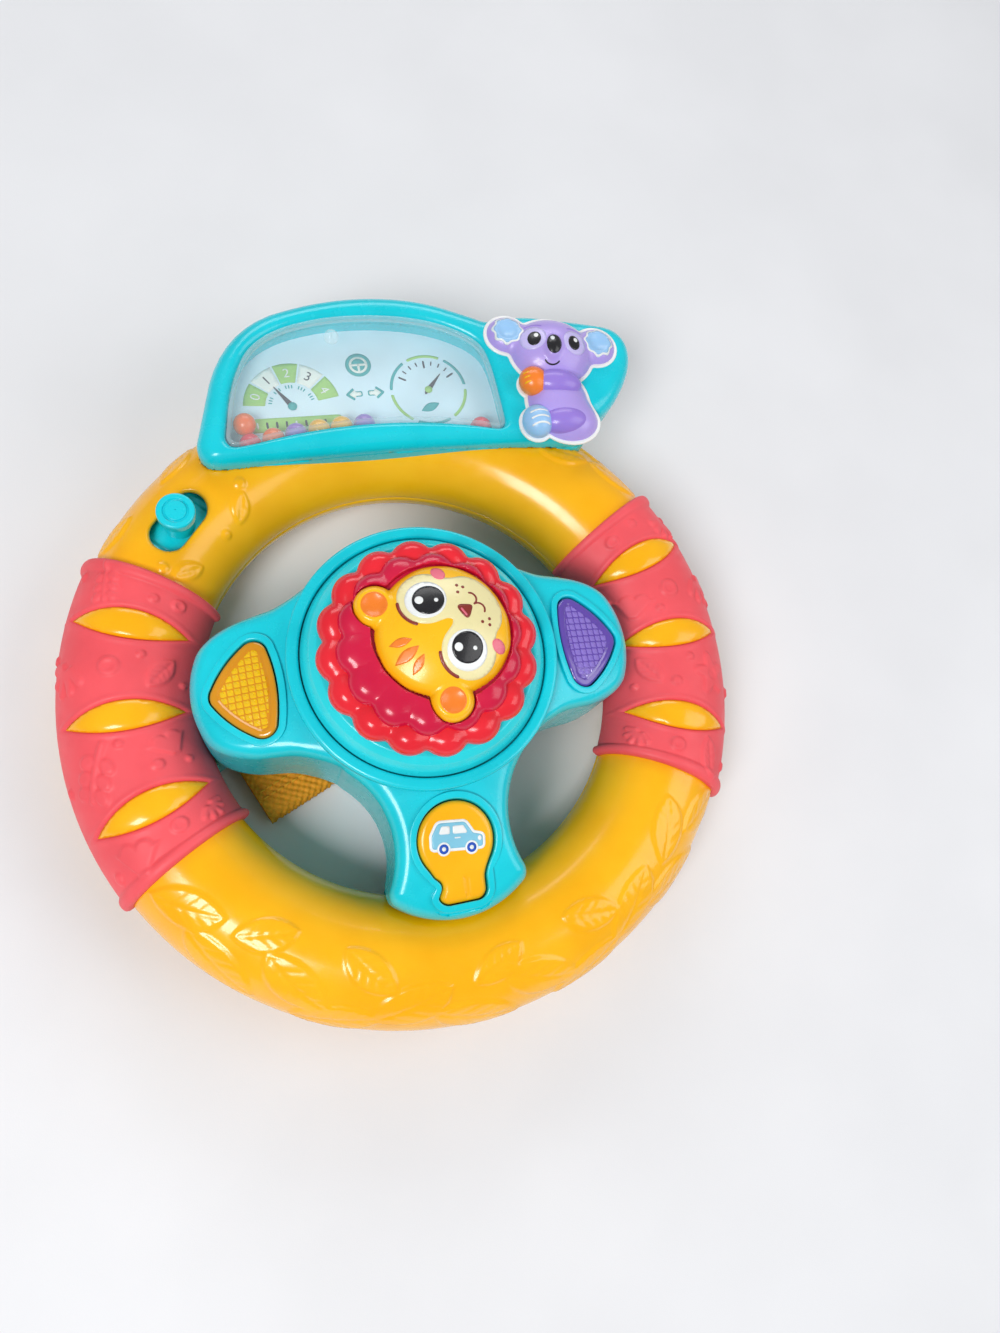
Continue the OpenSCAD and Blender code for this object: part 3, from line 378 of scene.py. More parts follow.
def lathe(profile, n=180, at=(0, 0)):
    """A closed profile of radius and height, turned round an upright axis."""
    prof = np.array(profile, float)
    u = np.linspace(0, 2 * math.pi, n, endpoint=False)
    p = np.empty((n, len(prof), 3))
    p[..., 0] = at[0] + np.cos(u)[:, None] * prof[:, 0]
    p[..., 1] = at[1] + np.sin(u)[:, None] * prof[:, 0]
    p[..., 2] = prof[:, 1]
    return p.reshape(-1, 3), weave_grid(n, len(prof), True, True)


def loft(rings):
    """A closed tube through rings of points, each with its height."""
    return np.stack(rings, 1).reshape(-1, 3), weave_grid(len(rings[0]), len(rings), True, True)


def tube(line, r, n=8):
    """A round bar along a line of points."""
    t = np.gradient(line, axis=0)
    t /= length(t)[:, None]
    side = np.cross(t, [0, 0, 1.0]) + 1e-9
    side /= length(side)[:, None]
    up = np.cross(side, t)
    a = np.linspace(0, 2 * math.pi, n, endpoint=False)[None, :, None]
    p = line[:, None] + r * (np.cos(a) * side[:, None] + np.sin(a) * up[:, None])
    return p.reshape(-1, 3), weave_grid(len(line), n, False, True)


def merge(parts):
    """Several point and quad arrays as one."""
    base = np.cumsum([0] + [len(q) for q, _ in parts])
    return np.vstack([q for q, _ in parts]), np.vstack([f + b for (_, f), b in zip(parts, base)])


def triangles(outline, inner):
    """Triangles over an outline and points inside it, and where each given point went."""
    pts = [Vector(q) for q in np.vstack([outline, inner])]
    got = delaunay_2d_cdt(pts, [], [list(range(len(outline)))], 1, 1e-5)
    where = {s: k for k, source in enumerate(got[3]) for s in source}
    return np.array([tuple(v) for v in got[0]]), np.array(got[2]), where


def fill(outline, step):
    """Triangles over the inside of an outline, with points on a grid inside it."""
    grid = lattice(*[np.arange(a, b, step) for a, b in zip(outline.min(0), outline.max(0))])
    return triangles(outline, grid[polygon(grid, outline) < -0.45 * step])[:2]


def cap(name, rings, height, low, mat, grid=None, step=0.8, **kw):
    """A closed piece over the first of several nested outlines; height gives its top."""
    inner = rings[-1]
    if grid is None:
        axes = [np.arange(a, b, step) for a, b in zip(inner.min(0), inner.max(0))]
        grid = np.stack(np.meshgrid(*axes), -1).reshape(-1, 2)
    grid = grid[polygon(grid, inner) < -0.4 * step]
    xy, tri, where = triangles(rings[0], np.vstack(rings[1:] + [grid]))
    rim = np.array([where[k] for k in range(len(rings[0]))])
    m = len(xy)
    wall = np.column_stack([rim, m + rim, m + np.roll(rim, -1), np.roll(rim, -1)])
    p = np.vstack([np.column_stack([xy, height(xy)]), np.column_stack([xy, np.full(m, low)])])
    return piece(name, p, [np.vstack([tri, tri[:, ::-1] + m]), wall], mat, **kw)


def print_on(name, outline, height, mat, body="wheel", lift=0.08, step=0.7, slot=None, thick=0.1):
    """A thin printed film over a surface that is given as a height for each point."""
    xy, tri = fill(even(np.asarray(outline, float), step * 0.5), step)
    ob = piece(name, np.column_stack([xy, height(xy) + lift]), tri, mat, body, slot=slot, sharp=0)
    return thicken(ob, thick)


def printer(figure, place, height, body="wheel", slot="printed_card", usual_step=0.8):
    """A function that prints outlines of one figure onto its surface; place puts them there."""
    def show(name, outline, mat, lift, step=usual_step):
        print_on(f"{figure}_{name}", place(outline), height, mat, body, lift, step, slot)

    return show


# Materials
def rgb(r, g, b):
    f = lambda c: c / 12.92 if c <= 0.04045 else ((c + 0.055) / 1.055) ** 2.4
    return tuple(f(c / 255) for c in (r, g, b))


def look(name, colour, rough, tint=0.06, tint_scale=60, grain=0.0, grain_scale=2500, rough_var=0.06,
         **sockets):
    """A procedural material: its colour, roughness and fine relief come from noise."""
    mat = bpy.data.materials.new(name)
    mat.use_nodes = True
    tree = mat.node_tree
    bsdf = tree.nodes["Principled BSDF"]
    for k, v in sockets.items():
        bsdf.inputs[k.replace("_", " ")].default_value = v
    coord = tree.nodes.new("ShaderNodeTexCoord").outputs["Object"]

    def node(kind, source, into, **values):
        n = tree.nodes.new(kind)
        tree.links.new(source, n.inputs[into])
        for k, v in values.items():
            n.inputs[k.replace("_", " ")].default_value = v
        return n

    def noise(scale, detail):
        return node("ShaderNodeTexNoise", coord, "Vector", Scale=scale, Detail=detail).outputs["Fac"]

    def ramp(source, a, b, low=0.0, high=1.0):
        values = dict(From_Min=a, From_Max=b, To_Min=low, To_Max=high)
        return node("ShaderNodeMapRange", source, "Value", **values).outputs["Result"]

    mix = tree.nodes.new("ShaderNodeMix")
    mix.data_type = "RGBA"
    factor, dark, pale = (mix.inputs[k] for k in (0, 6, 7))
    c = np.array(colour)
    dark.default_value = (*(c * (1 - tint)), 1)
    pale.default_value = (*np.minimum(c * (1 + tint) + 0.004, 1), 1)
    tree.links.new(ramp(noise(tint_scale, 3), 0.35, 0.65), factor)
    tree.links.new(mix.outputs[2], bsdf.inputs["Base Color"])
    smear = ramp(noise(220, 4), 0.3, 0.7, rough - rough_var / 2, rough + rough_var)
    tree.links.new(smear, bsdf.inputs["Roughness"])
    if grain:
        bump = node("ShaderNodeBump", noise(grain_scale, 2), "Height", Strength=1.0, Distance=grain * MM)
        tree.links.new(bump.outputs["Normal"], bsdf.inputs["Normal"])
    return mat


def plastic(name, colour, rough=0.24, **kw):
    opts = dict(tint=0.045, grain=0.012, grain_scale=900, Coat_Weight=0.2, Coat_Roughness=0.1,
                Specular_IOR_Level=0.42, Subsurface_Weight=0.04, Subsurface_Scale=0.002)
    opts.update(kw)
    return look(name, rgb(*colour), rough, **opts)


def ink(name, *colour):
    return plastic(f"card_{name}print", colour, 0.55, Coat_Weight=0.0)


def lens(name, colour, rough, through, coat):
    return plastic(name, colour, rough, Transmission_Weight=through, IOR=1.49, Coat_Weight=coat)


def clear(name, colour, rough, tint, alpha):
    return look(name, colour, rough, tint=tint, rough_var=0.02, Alpha=alpha, IOR=1.6, Coat_Weight=1.0,
                Coat_Roughness=0.03)


TEAL = plastic("teal_plastic", (6, 203, 217))
PALE_TEAL = plastic("pale_teal_plastic", (34, 214, 224))
YELLOW = plastic("yellow_plastic", (255, 180, 0), 0.2)
CORAL = plastic("coral_rubber", (240, 84, 92), 0.5, grain=0.03, grain_scale=1400, rough_var=0.1,
                Coat_Weight=0.0, Subsurface_Weight=0.08)
RED = plastic("mane_red_plastic", (230, 34, 48), 0.2)
CRIMSON = plastic("mane_crimson_plastic", (205, 16, 62), 0.2)
FACE = plastic("lion_yellow_plastic", (255, 188, 16), 0.24)
CREAM = plastic("cream_print", (240, 226, 168), 0.28)
WHITE = plastic("white_print", (240, 240, 238), 0.3)
INK = plastic("black_print", (28, 27, 30), 0.26)
BROWN = plastic("brown_print", (140, 48, 38), 0.3)
ORANGE = plastic("orange_print", (243, 128, 36), 0.28)
PINK = plastic("pink_print", (236, 110, 130), 0.28)
KEY_BLUE = plastic("sky_print", (130, 196, 220), 0.28)
LAVENDER = plastic("koala_lavender_paint", (178, 156, 228), 0.3)
VIOLET_PAINT = plastic("koala_violet_paint", (152, 124, 214), 0.3)
SKY = plastic("koala_sky_paint", (152, 196, 236), 0.3)
CARD = ink("", 208, 234, 244)
CARD_GREEN = ink("green_", 158, 208, 112)
CARD_PALE = ink("pale_", 236, 244, 236)
CARD_TEAL = ink("teal_", 40, 168, 170)
CARD_INK = ink("ink_", 44, 46, 62)
CARD_BLUE = ink("blue_", 24, 78, 184)
BEAD_COLOURS = dict(red=(226, 40, 70), orange=(240, 110, 34), yellow=(246, 184, 20), purple=(152, 116, 204))
BEADS = {name: plastic(f"{name}_bead_plastic", colour, 0.22) for name, colour in BEAD_COLOURS.items()}
AMBER = lens("amber_lens", (255, 204, 10), 0.12, 0.1, 0.6)
VIOLET = lens("violet_lens", (150, 126, 214), 0.12, 0.1, 0.6)
DEEP_AMBER = lens("amber_lens_margin", (238, 158, 4), 0.1, 0.2, 0.8)
DEEP_VIOLET = lens("violet_lens_margin", (108, 78, 182), 0.1, 0.2, 0.8)
CLEAR = clear("clear_window", (0.9, 0.96, 0.98), 0.04, 0.01, 0.09)
CLEAR_EDGE = clear("clear_window_edge", (0.8, 0.93, 0.95), 0.06, 0.02, 0.17)
STEEL = look("zinc_steel", rgb(176, 178, 184), 0.34, tint=0.12, tint_scale=500, rough_var=0.2, Metallic=1.0)
GREY = plastic("white_moulded_plastic", (226, 228, 230), 0.42)
BLACK = plastic("black_moulded_plastic", (34, 34, 38), 0.45)
BOARD = plastic("board_lacquer", (24, 108, 58), 0.35)
CELL = plastic("cell_wrap", (88, 92, 98), 0.35)
WIRE = plastic("red_wire", (196, 30, 36), 0.4)
WEBBING = plastic("webbing_weave", (226, 150, 22), 0.7, tint=0.14, tint_scale=700, grain=0.08,
                  grain_scale=3000, Coat_Weight=0.0)
THREAD = plastic("stitch_thread", (240, 176, 44), 0.7, Coat_Weight=0.0)
PATCH = plastic("koala_patch_paint", (200, 188, 238), 0.3)
SILICONE = plastic("silicone", (222, 224, 226), 0.5, Subsurface_Weight=0.2)
TEAL_PART = dict(mat=TEAL, slot="teal_plastic")
YELLOW_PART = dict(mat=YELLOW, slot="yellow_plastic")


# Camera, light, floor
def stage_scene():
    scene = bpy.context.scene
    cam = bpy.data.objects.new("camera", bpy.data.cameras.new("camera"))
    scene.collection.objects.link(cam)
    cam.data.lens, cam.data.sensor_width, cam.data.clip_start = 27.03, 36.0, 0.01
    axes = ((0.95975, -0.20049, 0.19667), (0.14685, 0.95517, 0.25707), (-0.23939, -0.21785, 0.94617))
    cam.matrix_world = Matrix.Translation((-0.04851, -0.07017, 0.33437)) @ Matrix(axes).transposed().to_4x4()
    scene.camera = cam
    scene.view_settings.view_transform = "Standard"
    scene.world = bpy.data.worlds.new("studio")
    scene.world.use_nodes = True
    sky = scene.world.node_tree.nodes["Background"].inputs
    sky["Color"].default_value = (0.86, 0.9, 0.95, 1)
    sky["Strength"].default_value = 0.33
    aim = Vector((0, 0, 0.03))
    for name, at, size, watts in (("key_light", (-0.42, -0.35, 0.75), (0.34, 0.34), 5.4),
                                  ("fill_light", (0.6, -0.2, 0.6), (0.6, 0.6), 2.5),
                                  ("back_light", (0.1, 0.75, 0.5), (0.7, 0.3), 2.2)):
        light = bpy.data.lights.new(name, "AREA")
        light.shape, light.size, light.size_y, light.energy = "RECTANGLE", *size, watts
        lamp = bpy.data.objects.new(name, light)
        scene.collection.objects.link(lamp)
        lamp.location = at
        lamp.rotation_mode = "QUATERNION"
        lamp.rotation_quaternion = (aim - Vector(at)).to_track_quat("-Z", "Y")
    n = 96
    r = np.concatenate([np.linspace(0, 300, 7)[1:], np.geomspace(340, 4200, 14)])
    a = np.linspace(0, 2 * math.pi, n, endpoint=False)
    p = np.stack([np.outer(r, np.cos(a)), np.outer(r, np.sin(a)), np.zeros((len(r), n))], -1).reshape(-1, 3)
    p = np.vstack([p, [[0, 0, 0]]])
    middle = np.column_stack([np.roll(np.arange(n), -1), np.full(n, len(p) - 1), np.arange(n)])
    me = bpy.data.meshes.new("floor")
    me.from_pydata((p * MM).tolist(), [], weave_grid(len(r), n, False, True).tolist() + middle.tolist())
    floor = bpy.data.objects.new("floor", me)
    scene.collection.objects.link(floor)
    me.materials.append(look("floor_paper", rgb(228, 228, 230), 0.8, tint=0.02, tint_scale=12, grain=0.02))


stage_scene()

# Hub
HUB_R = 40
SIGNAL = bowed([(47.5, -11.5), (56.9, -1.5), (47.5, 8.5)], 0.06)
SIGNAL_R, SIGNAL_SEED_X, SIGNAL_SEED_Y, SIGNAL_FLOOR = 4.0, 50.0, -1.5, 40
COLLAR, GAP = 2.0, 0.35
LIP_OUT = GAP + COLLAR
KEY_AT, KEY_R, KEY_SEED, KEY_FLOOR = (0, -53.0), 11.0, (0, -57.0), 37.5
KEY_BLADE = [(-4, -67), (4, -67), (4, -53), (-4, -53)]
BEARING_R, BEARING_Z = 8, 50
HUB_STEP = 0.62
SIDES = (("left", -1, "amber_lens", AMBER, DEEP_AMBER), ("right", 1, "violet_lens", VIOLET, DEEP_VIOLET))


def casing_outline(p):
    x, y = np.abs(p[:, 0]), p[:, 1]
    hub = np.hypot(x, y) - HUB_R
    end = np.hypot(np.maximum(x - SPOKE_END_X, 0), y) - SPOKE_END_R
    flank = (np.abs(y) - SPOKE_HALF + SPOKE_TAPER * x) / math.hypot(1, SPOKE_TAPER)
    d = join(hub, cut(end, flank, 6.0), 7.0)
    foot = np.maximum(np.hypot(x, np.minimum(y + FOOT_END_Y, 0)) - FOOT_END_R, y + 20)
    d = np.minimum(d, foot)
    return cut(d, HOLLOW_R - np.hypot(x - HOLLOW[0], y - HOLLOW[1]), 3.0)


def dome(p):
    return length(p - np.array([0, 0, DOME_Z])) - DOME_R


def dome_height(xy, rise=0.0):
    return DOME_Z + np.sqrt((DOME_R + rise) ** 2 - (xy * xy).sum(1))


def rim_tube(p, r):
    return np.hypot(np.hypot(p[:, 0], p[:, 1]) - RIM_R, p[:, 2] - RIM_Z) - r


def signal_field(xy):
    q = np.column_stack([np.abs(xy[:, 0]), xy[:, 1]])
    return polygon(q, SIGNAL) - SIGNAL_R


def signal_path(s, n):
    return level_path(signal_field, (s * SIGNAL_SEED_X, SIGNAL_SEED_Y), n)


def key_field(xy):
    d = join(length(xy - np.array(KEY_AT)) - KEY_R, polygon(xy, KEY_BLADE) - 3, 2.5)
    return cut(d, 2.6 - np.hypot(xy[:, 0] + 8.2, xy[:, 1] + 65), 0.8)


def hub_field(p):
    xy, z = p[:, :2], p[:, 2]
    d = cut(casing_outline(xy), dome(p), 4.2)
    rad = np.hypot(p[:, 0], p[:, 1])
    d = cut(d, -np.maximum(rad - RING_R + 2.0, SEAT_Z - z), 0.3)
    grow = LIP_OUT - 0.9
    d = cut(d, -np.maximum(signal_field(xy) - grow, SIGNAL_FLOOR - z), 0.45)
    d = cut(d, -np.maximum(key_field(xy) - grow, KEY_FLOOR - z), 0.45)
    d = cut(d, -np.maximum(rad - BEARING_R, BEARING_Z - z), 0.3)
    d = np.maximum(d, -rim_tube(p, GRIP_R + 0.25))
    return np.maximum(d, RIM_Z + 0.05 - z)


def hub_keep(c, n):
    """The faces of the hub's skin that stay: not its foot, its pockets' floors or its bearing."""
    xy, z, up = c[:, :2], c[:, 2], n[:, 2]
    foot = (up < -0.9) & (z < RIM_Z + 0.3)
    pocket = (signal_field(xy) < 2) | (key_field(xy) < 2)
    floor = (up > 0.9) & (z > 30) & (z < SIGNAL_FLOOR + 0.3) & pocket
    bearing = (np.hypot(c[:, 0], c[:, 1]) < BEARING_R - 0.4) & (z < BEARING_Z + 0.4)
    return ~(foot | floor | bearing)


open_shell(*net(hub_field, (-68, -77, 18), (68, 42, 61), HUB_STEP), hub_keep, 1.8, "hub_front",
           node="hub_front_casing", **TEAL_PART)

# Collars and bezel
LIP = rounded([(LIP_OUT - 0.3, -3.5), (LIP_OUT - 0.3, 0.1), (LIP_OUT, 0.4), (LIP_OUT, 1.0), (GAP, 1.0),
               (GAP, -3.5)], [0, 0.1, 0.1, 0.6, 0.7, 0])


def collar(name, path, node):
    """A rounded lip that follows an outline over the dome."""
    rings = [np.column_stack([q, dome_height(q) + h]) for q, h in ((path(s), h) for s, h in LIP)]
    piece(name, *loft(rings), node=node, **TEAL_PART)


for side, s, *_ in SIDES:
    collar(f"{side}_collar", signal_path(s, 220), f"{side}_signal_collar")
collar("key_lip", level_path(key_field, KEY_SEED, 300), "key_collar")
RING_IN = RING_R - RING_W
bezel = rounded([(RING_IN, SEAT_Z + 0.1), (RING_R - 0.5, SEAT_Z + 0.1), (RING_R - 0.5, SEAT_Z + 1.6),
                 (RING_R, SEAT_Z + 2.1), (RING_R, RING_TOP), (RING_IN, RING_TOP)],
                [0.2, 0.2, 0.1, 0.2, 1.6, 1.2], 8)
piece("bezel", *lathe(bezel), node="bezel_ring", **TEAL_PART)


# Relief motifs, in millimetres on the tube's skin
def twist(a, b, angle):
    c, s = math.cos(angle), math.sin(angle)
    return a * c + b * s, b * c - a * s


def vesica(a, b, long, wide):
    hl, hw = long / 2, wide / 2
    r = (hl * hl + hw * hw) / (2 * hw)
    return np.hypot(a, np.abs(b) + r - hw) - r


def leaf(a, b, size):
    d = vesica(a, b, size, size * 0.52)
    side_rib = ((a - np.abs(b) * 0.9) / (size * 0.17)) % 1 - 0.5
    rib = np.exp(-(b / 0.45) ** 2) + 0.6 * np.exp(-(side_rib / 0.13) ** 2)
    return soft(d, 1.0) * (1 - 0.5 * np.minimum(rib, 1) * soft(d + 0.9, 1.0))


def frond(a, b, size):
    d = np.full(a.shape, 9.0)
    for k in range(-2, 3):
        x, y = twist(a, b, math.radians(34 * k))
        t = np.clip(x, 0.16 * size, 0.5 * size - 0.3 * abs(k))
        d = np.minimum(d, np.hypot(x - t, y) - 0.09 * size)
    return soft(d, 0.9)


def flower(a, b, size):
    q, r = np.arctan2(b, a), np.hypot(a, b)
    d = r - 0.5 * size * (0.76 + 0.24 * np.cos(5 * q))
    return soft(d, 1.0) * (1 - 0.55 * soft(r - 0.12 * size, 0.8))


def sprig(a, b, size):
    d = np.hypot(np.clip(a, -0.45 * size, 0.4 * size) - a, b) - 0.055 * size
    for x in (-0.22, 0.02, 0.24):
        for s in (-1, 1):
            along, across = twist(a - x * size, b - s * 0.05 * size, s * 0.95)
            d = np.minimum(d, np.hypot((along - 0.15 * size) * 0.72, across) - 0.1 * size)
    return soft(d, 0.9)


def heart(a, b, size):
    x, y = np.abs(b), -a
    d = np.hypot(x - 0.23 * size, y - 0.14 * size) - 0.25 * size
    tip = np.maximum((x + 0.78 * (-y)) / 1.268 - 0.375 * size, np.abs(y + 0.12 * size) - 0.32 * size)
    return soft(np.minimum(d, tip), 1.0)


def dot(a, b, size):
    return soft(np.hypot(a, b) - size / 2, 0.9)


def stud(a, b, size):
    r = np.hypot(a, b)
    return soft(r - size / 2, 0.9) * (1 - 0.45 * soft(r - size * 0.24, 0.7))


def relief(s, t, motifs, height):
    """The highest of several motifs: each has its kind, place along and across, turn and size."""
    h = np.zeros(s.shape)
    for kind, at, across, angle, size in motifs:
        near = (np.abs(s - at) < size) & (np.abs(t - across) < size)
        a, b = twist(s[near] - at, t[near] - across, math.radians(angle))
        h[near] = np.maximum(h[near], kind(a, b, size))
    return h * height


# Rim and grips
RIM_WALL = 2.3
RIM_SPOTS = [polar((0, 0), RIM_R, a) for a in (20, 75, 105, 160, 200, 240, 300, 340)]
RIM_LEAVES = [(leaf, 217, -9, 28, 21), (leaf, 226, -18, -24, 24), (leaf, 231, -2, 32, 18),
              (leaf, 239, -12, -30, 23), (leaf, 247, -21, 18, 23), (leaf, 251, -3, -34, 19),
              (leaf, 259, -13, 30, 24), (leaf, 270, -20, -22, 24), (leaf, 275, -4, 26, 17),
              (leaf, 282, -13, -32, 23), (leaf, 291, -21, 24, 23), (leaf, 295, -4, -30, 18),
              (leaf, 303, -12, 32, 23), (leaf, 312, -20, -20, 23), (leaf, 318, -6, 28, 20),
              (leaf, 325, -16, -26, 18), (leaf, 36, -15, 24, 18), (leaf, 44, -22, -24, 20),
              (leaf, 47, -7, 30, 17), (leaf, 55, -18, -20, 18), (leaf, 126, 11, 40, 11),
              (dot, 122.5, 5, 0, 3.4), (leaf, 146, 11, -36, 11), (dot, 133, 14, 0, 3),
              (leaf, 128, -17, 22, 15), (leaf, 145, -18, -24, 14), (dot, 148, 4, 0, 3.2)]
LEFT_MOTIFS = [(sprig, -38, -9, 15, 12), (dot, -37, 5, 0, 2.6), (stud, -37.5, 12, 0, 4),
               (dot, -39.5, -19, 0, 2.4),
               (frond, -15.5, -16, -20, 14), (stud, -14.5, -3, 0, 5.6), (leaf, -13, 10.5, -35, 12),
               (dot, -18.5, 5, 0, 2.2), (dot, -18, -23.5, 0, 2.4), (dot, -9.5, 17.5, 0, 2.2),
               (sprig, 13.5, -10, -30, 17), (heart, 11, 10.5, 20, 9), (dot, 17, 6, 0, 3.2),
               (dot, 8, -2, 0, 2.2),
               (dot, 17.5, 15, 0, 2.2), (dot, 15, -22, 0, 2.6), (heart, 37.5, -9, -15, 10),
               (stud, 36.5, 4, 0, 4.6), (frond, 35, 13.5, 30, 10), (dot, 38.5, -18.5, 0, 3)]
RIGHT_MOTIFS = [(frond, 35, -15, 150, 11), (stud, 37, 6, 0, 4.2), (dot, 38.5, -3, 0, 2.4),
                (dot, 36, -23, 0, 2.2),
                (heart, 12.5, 10, 160, 10), (stud, 14.5, -2.5, 0, 5.6), (frond, 16, -15.5, 200, 14),
                (dot, 17.5, 17, 0, 2.2), (dot, 9, 2.5, 0, 2.2), (dot, 9, -22, 0, 2.4),
                (leaf, -12, 10, 35, 12),
                (dot, -16.5, 2, 0, 3), (flower, -13.5, -10.5, 10, 13), (dot, -8.5, -3, 0, 2.2),
                (dot, -18, 15, 0, 2.2), (dot, -17, -22, 0, 2.6), (frond, -35.5, 12, 150, 10),
                (stud, -37.5, 0.5, 0, 4.4), (leaf, -38, -11, 20, 12), (dot, -38, -20.5, 0, 2.6)]
LENS_L, LENS_W, LENS_STEP = 33.0, 9.6, 18.5
DASH_CURVE = eased([(64.5, 74.5), (64.5, 96), (37, 110.5), (18, 118.6), (-8, 119.8), (-36, 112.4),
                    (-46.5, 79)])
DASH_LOBE = eased([(60, 80), (74.5, 79), (87, 94), (88.5, 104.5), (79, 107.2), (51, 113), (46, 106)])


def on_tube(u, v, r):
    """Points of the rim: u goes round the ring, v round the tube from its outside over the front."""
    u, v, r = np.broadcast_arrays(u, v, r)
    rad = RIM_R + r * np.cos(v)
    return np.stack([rad * np.cos(u), rad * np.sin(u), RIM_Z + r * np.sin(v)], -1)


def tube_rise(q, r=TUBE_R):
    """How far the skin of the rim's tube lies from its middle plane."""
    return np.sqrt(r ** 2 - (np.hypot(q[:, 0], q[:, 1]) - RIM_R) ** 2)


def local(p, angle):
    """Radial and tangential place of points, seen from the rim's middle line at an angle."""
    q = turn(p[..., :2], angle)
    return q[..., 0] - RIM_R, q[..., 1]


def slot_field(p):
    x, y = local(p, SLOT_ANGLE)
    return np.hypot(x, np.maximum(np.abs(y) - 5, 0)) - 5.5


def dash_outline(xy):
    body = polygon(xy, DASH_CURVE) - 8
    lobe = polygon(xy, DASH_LOBE) - 5
    bow = 496 - np.hypot(xy[:, 0] + 6.8, xy[:, 1] + 423)
    return cut(join(body, lobe, 3.0), bow, 4.0)


def pierce(p, faces, field, level):
    """Takes out the faces inside a field of the plane and moves the hole's edge onto its outline."""
    faces = faces[field(p[faces].mean(1)) > 0]
    e = np.sort(np.stack([faces, np.roll(faces, -1, 1)], -1).reshape(-1, 2), 1)
    key, n = np.unique(e[:, 0] * len(p) + e[:, 1], return_counts=True)
    rim = np.unique(np.concatenate([key[n == 1] // len(p), key[n == 1] % len(p)]))
    rim = rim[np.abs(field(p[rim])) < 1.5]
    for _ in range(3):
        q, d = p[rim], field(p[rim])
        g = np.stack([(field(q + np.eye(3)[k] * 0.01) - d) / 0.01 for k in (0, 1)], 1)
        p[rim, :2] -= (d / np.maximum((g * g).sum(1), 0.3))[:, None] * g
        p[rim, 2] = level(p[rim])
    used, faces = np.unique(faces, return_inverse=True)
    return p[used], faces.reshape(-1, 4)


def half_tube(nu, nv, start):
    """Angles round the ring and round half the tube, and how far its free edges draw in."""
    u = np.linspace(0, 2 * math.pi, nu, endpoint=False)[:, None] + np.zeros((1, nv))
    v = np.linspace(start, start + math.pi, nv)[None] + np.zeros((nu, 1))
    return u, v, lip(TUBE_R * np.minimum(v - start, start + math.pi - v), 0.5, 0.9)


def rim_shell(name, p, nu, nv, field, level, node):
    p, faces = pierce(p, weave_grid(nu, nv, True), field, level)
    thicken(piece(name, p, faces, node=node, sharp=0, **YELLOW_PART), RIM_WALL)


def rim_front():
    nu, nv = 880, 104
    u, v, draw = half_tube(nu, nv, 0)
    motifs = [(kind, math.radians(at) * RIM_R, *rest) for kind, at, *rest in RIM_LEAVES]
    h = relief(u * RIM_R, (v - math.pi / 2) * TUBE_R, motifs, 0.6) - draw
    p = on_tube(u, v, TUBE_R + h).reshape(-1, 3)
    d = slot_field(p)
    near = d < 1.1
    p[near, 2] -= round_off(-d[near], 1.0)
    seat = DASH_BACK - 0.3
    p[(dash_outline(p[:, :2]) < -0.8) & (p[:, 2] > seat), 2] = seat
    slot_zone = lambda q: np.where(q[:, 2] > RIM_Z + 5, slot_field(q), 9.0)
    level = lambda q: RIM_Z + tube_rise(q) - 1.0
    rim_shell("rim_front", p, nu, nv, slot_zone, level, "rim_front_shell")


def rim_rear():
    nu, nv = 560, 60
    u, v, draw = half_tube(nu, nv, math.pi)
    p = on_tube(u, v, TUBE_R - draw).reshape(-1, 3)
    holes = lambda q: np.where(q[:, 2] < 8, np.min([disc(q, at, 0) for at in RIM_SPOTS], 0) - 2.8, 9.0)
    level = lambda q: RIM_Z - tube_rise(q) + 0.15
    rim_shell("rim_rear", p, nu, nv, holes, level, "rim_rear_shell")
    sleeve = [(2.82, 1.9), (4.2, 2.6), (4.2, RIM_Z), (1.4, RIM_Z), (1.4, 5.6), (2.82, 5.6)]
    piece("rim_bosses", *merge([lathe(sleeve, 28, at) for at in RIM_SPOTS]), **YELLOW_PART)


def window(q):
    """A grip's opening: a lens with rounded ends."""
    return vesica(q[:, 0], q[:, 1], LENS_L - 4.0, LENS_W - 2.8) - 1.4


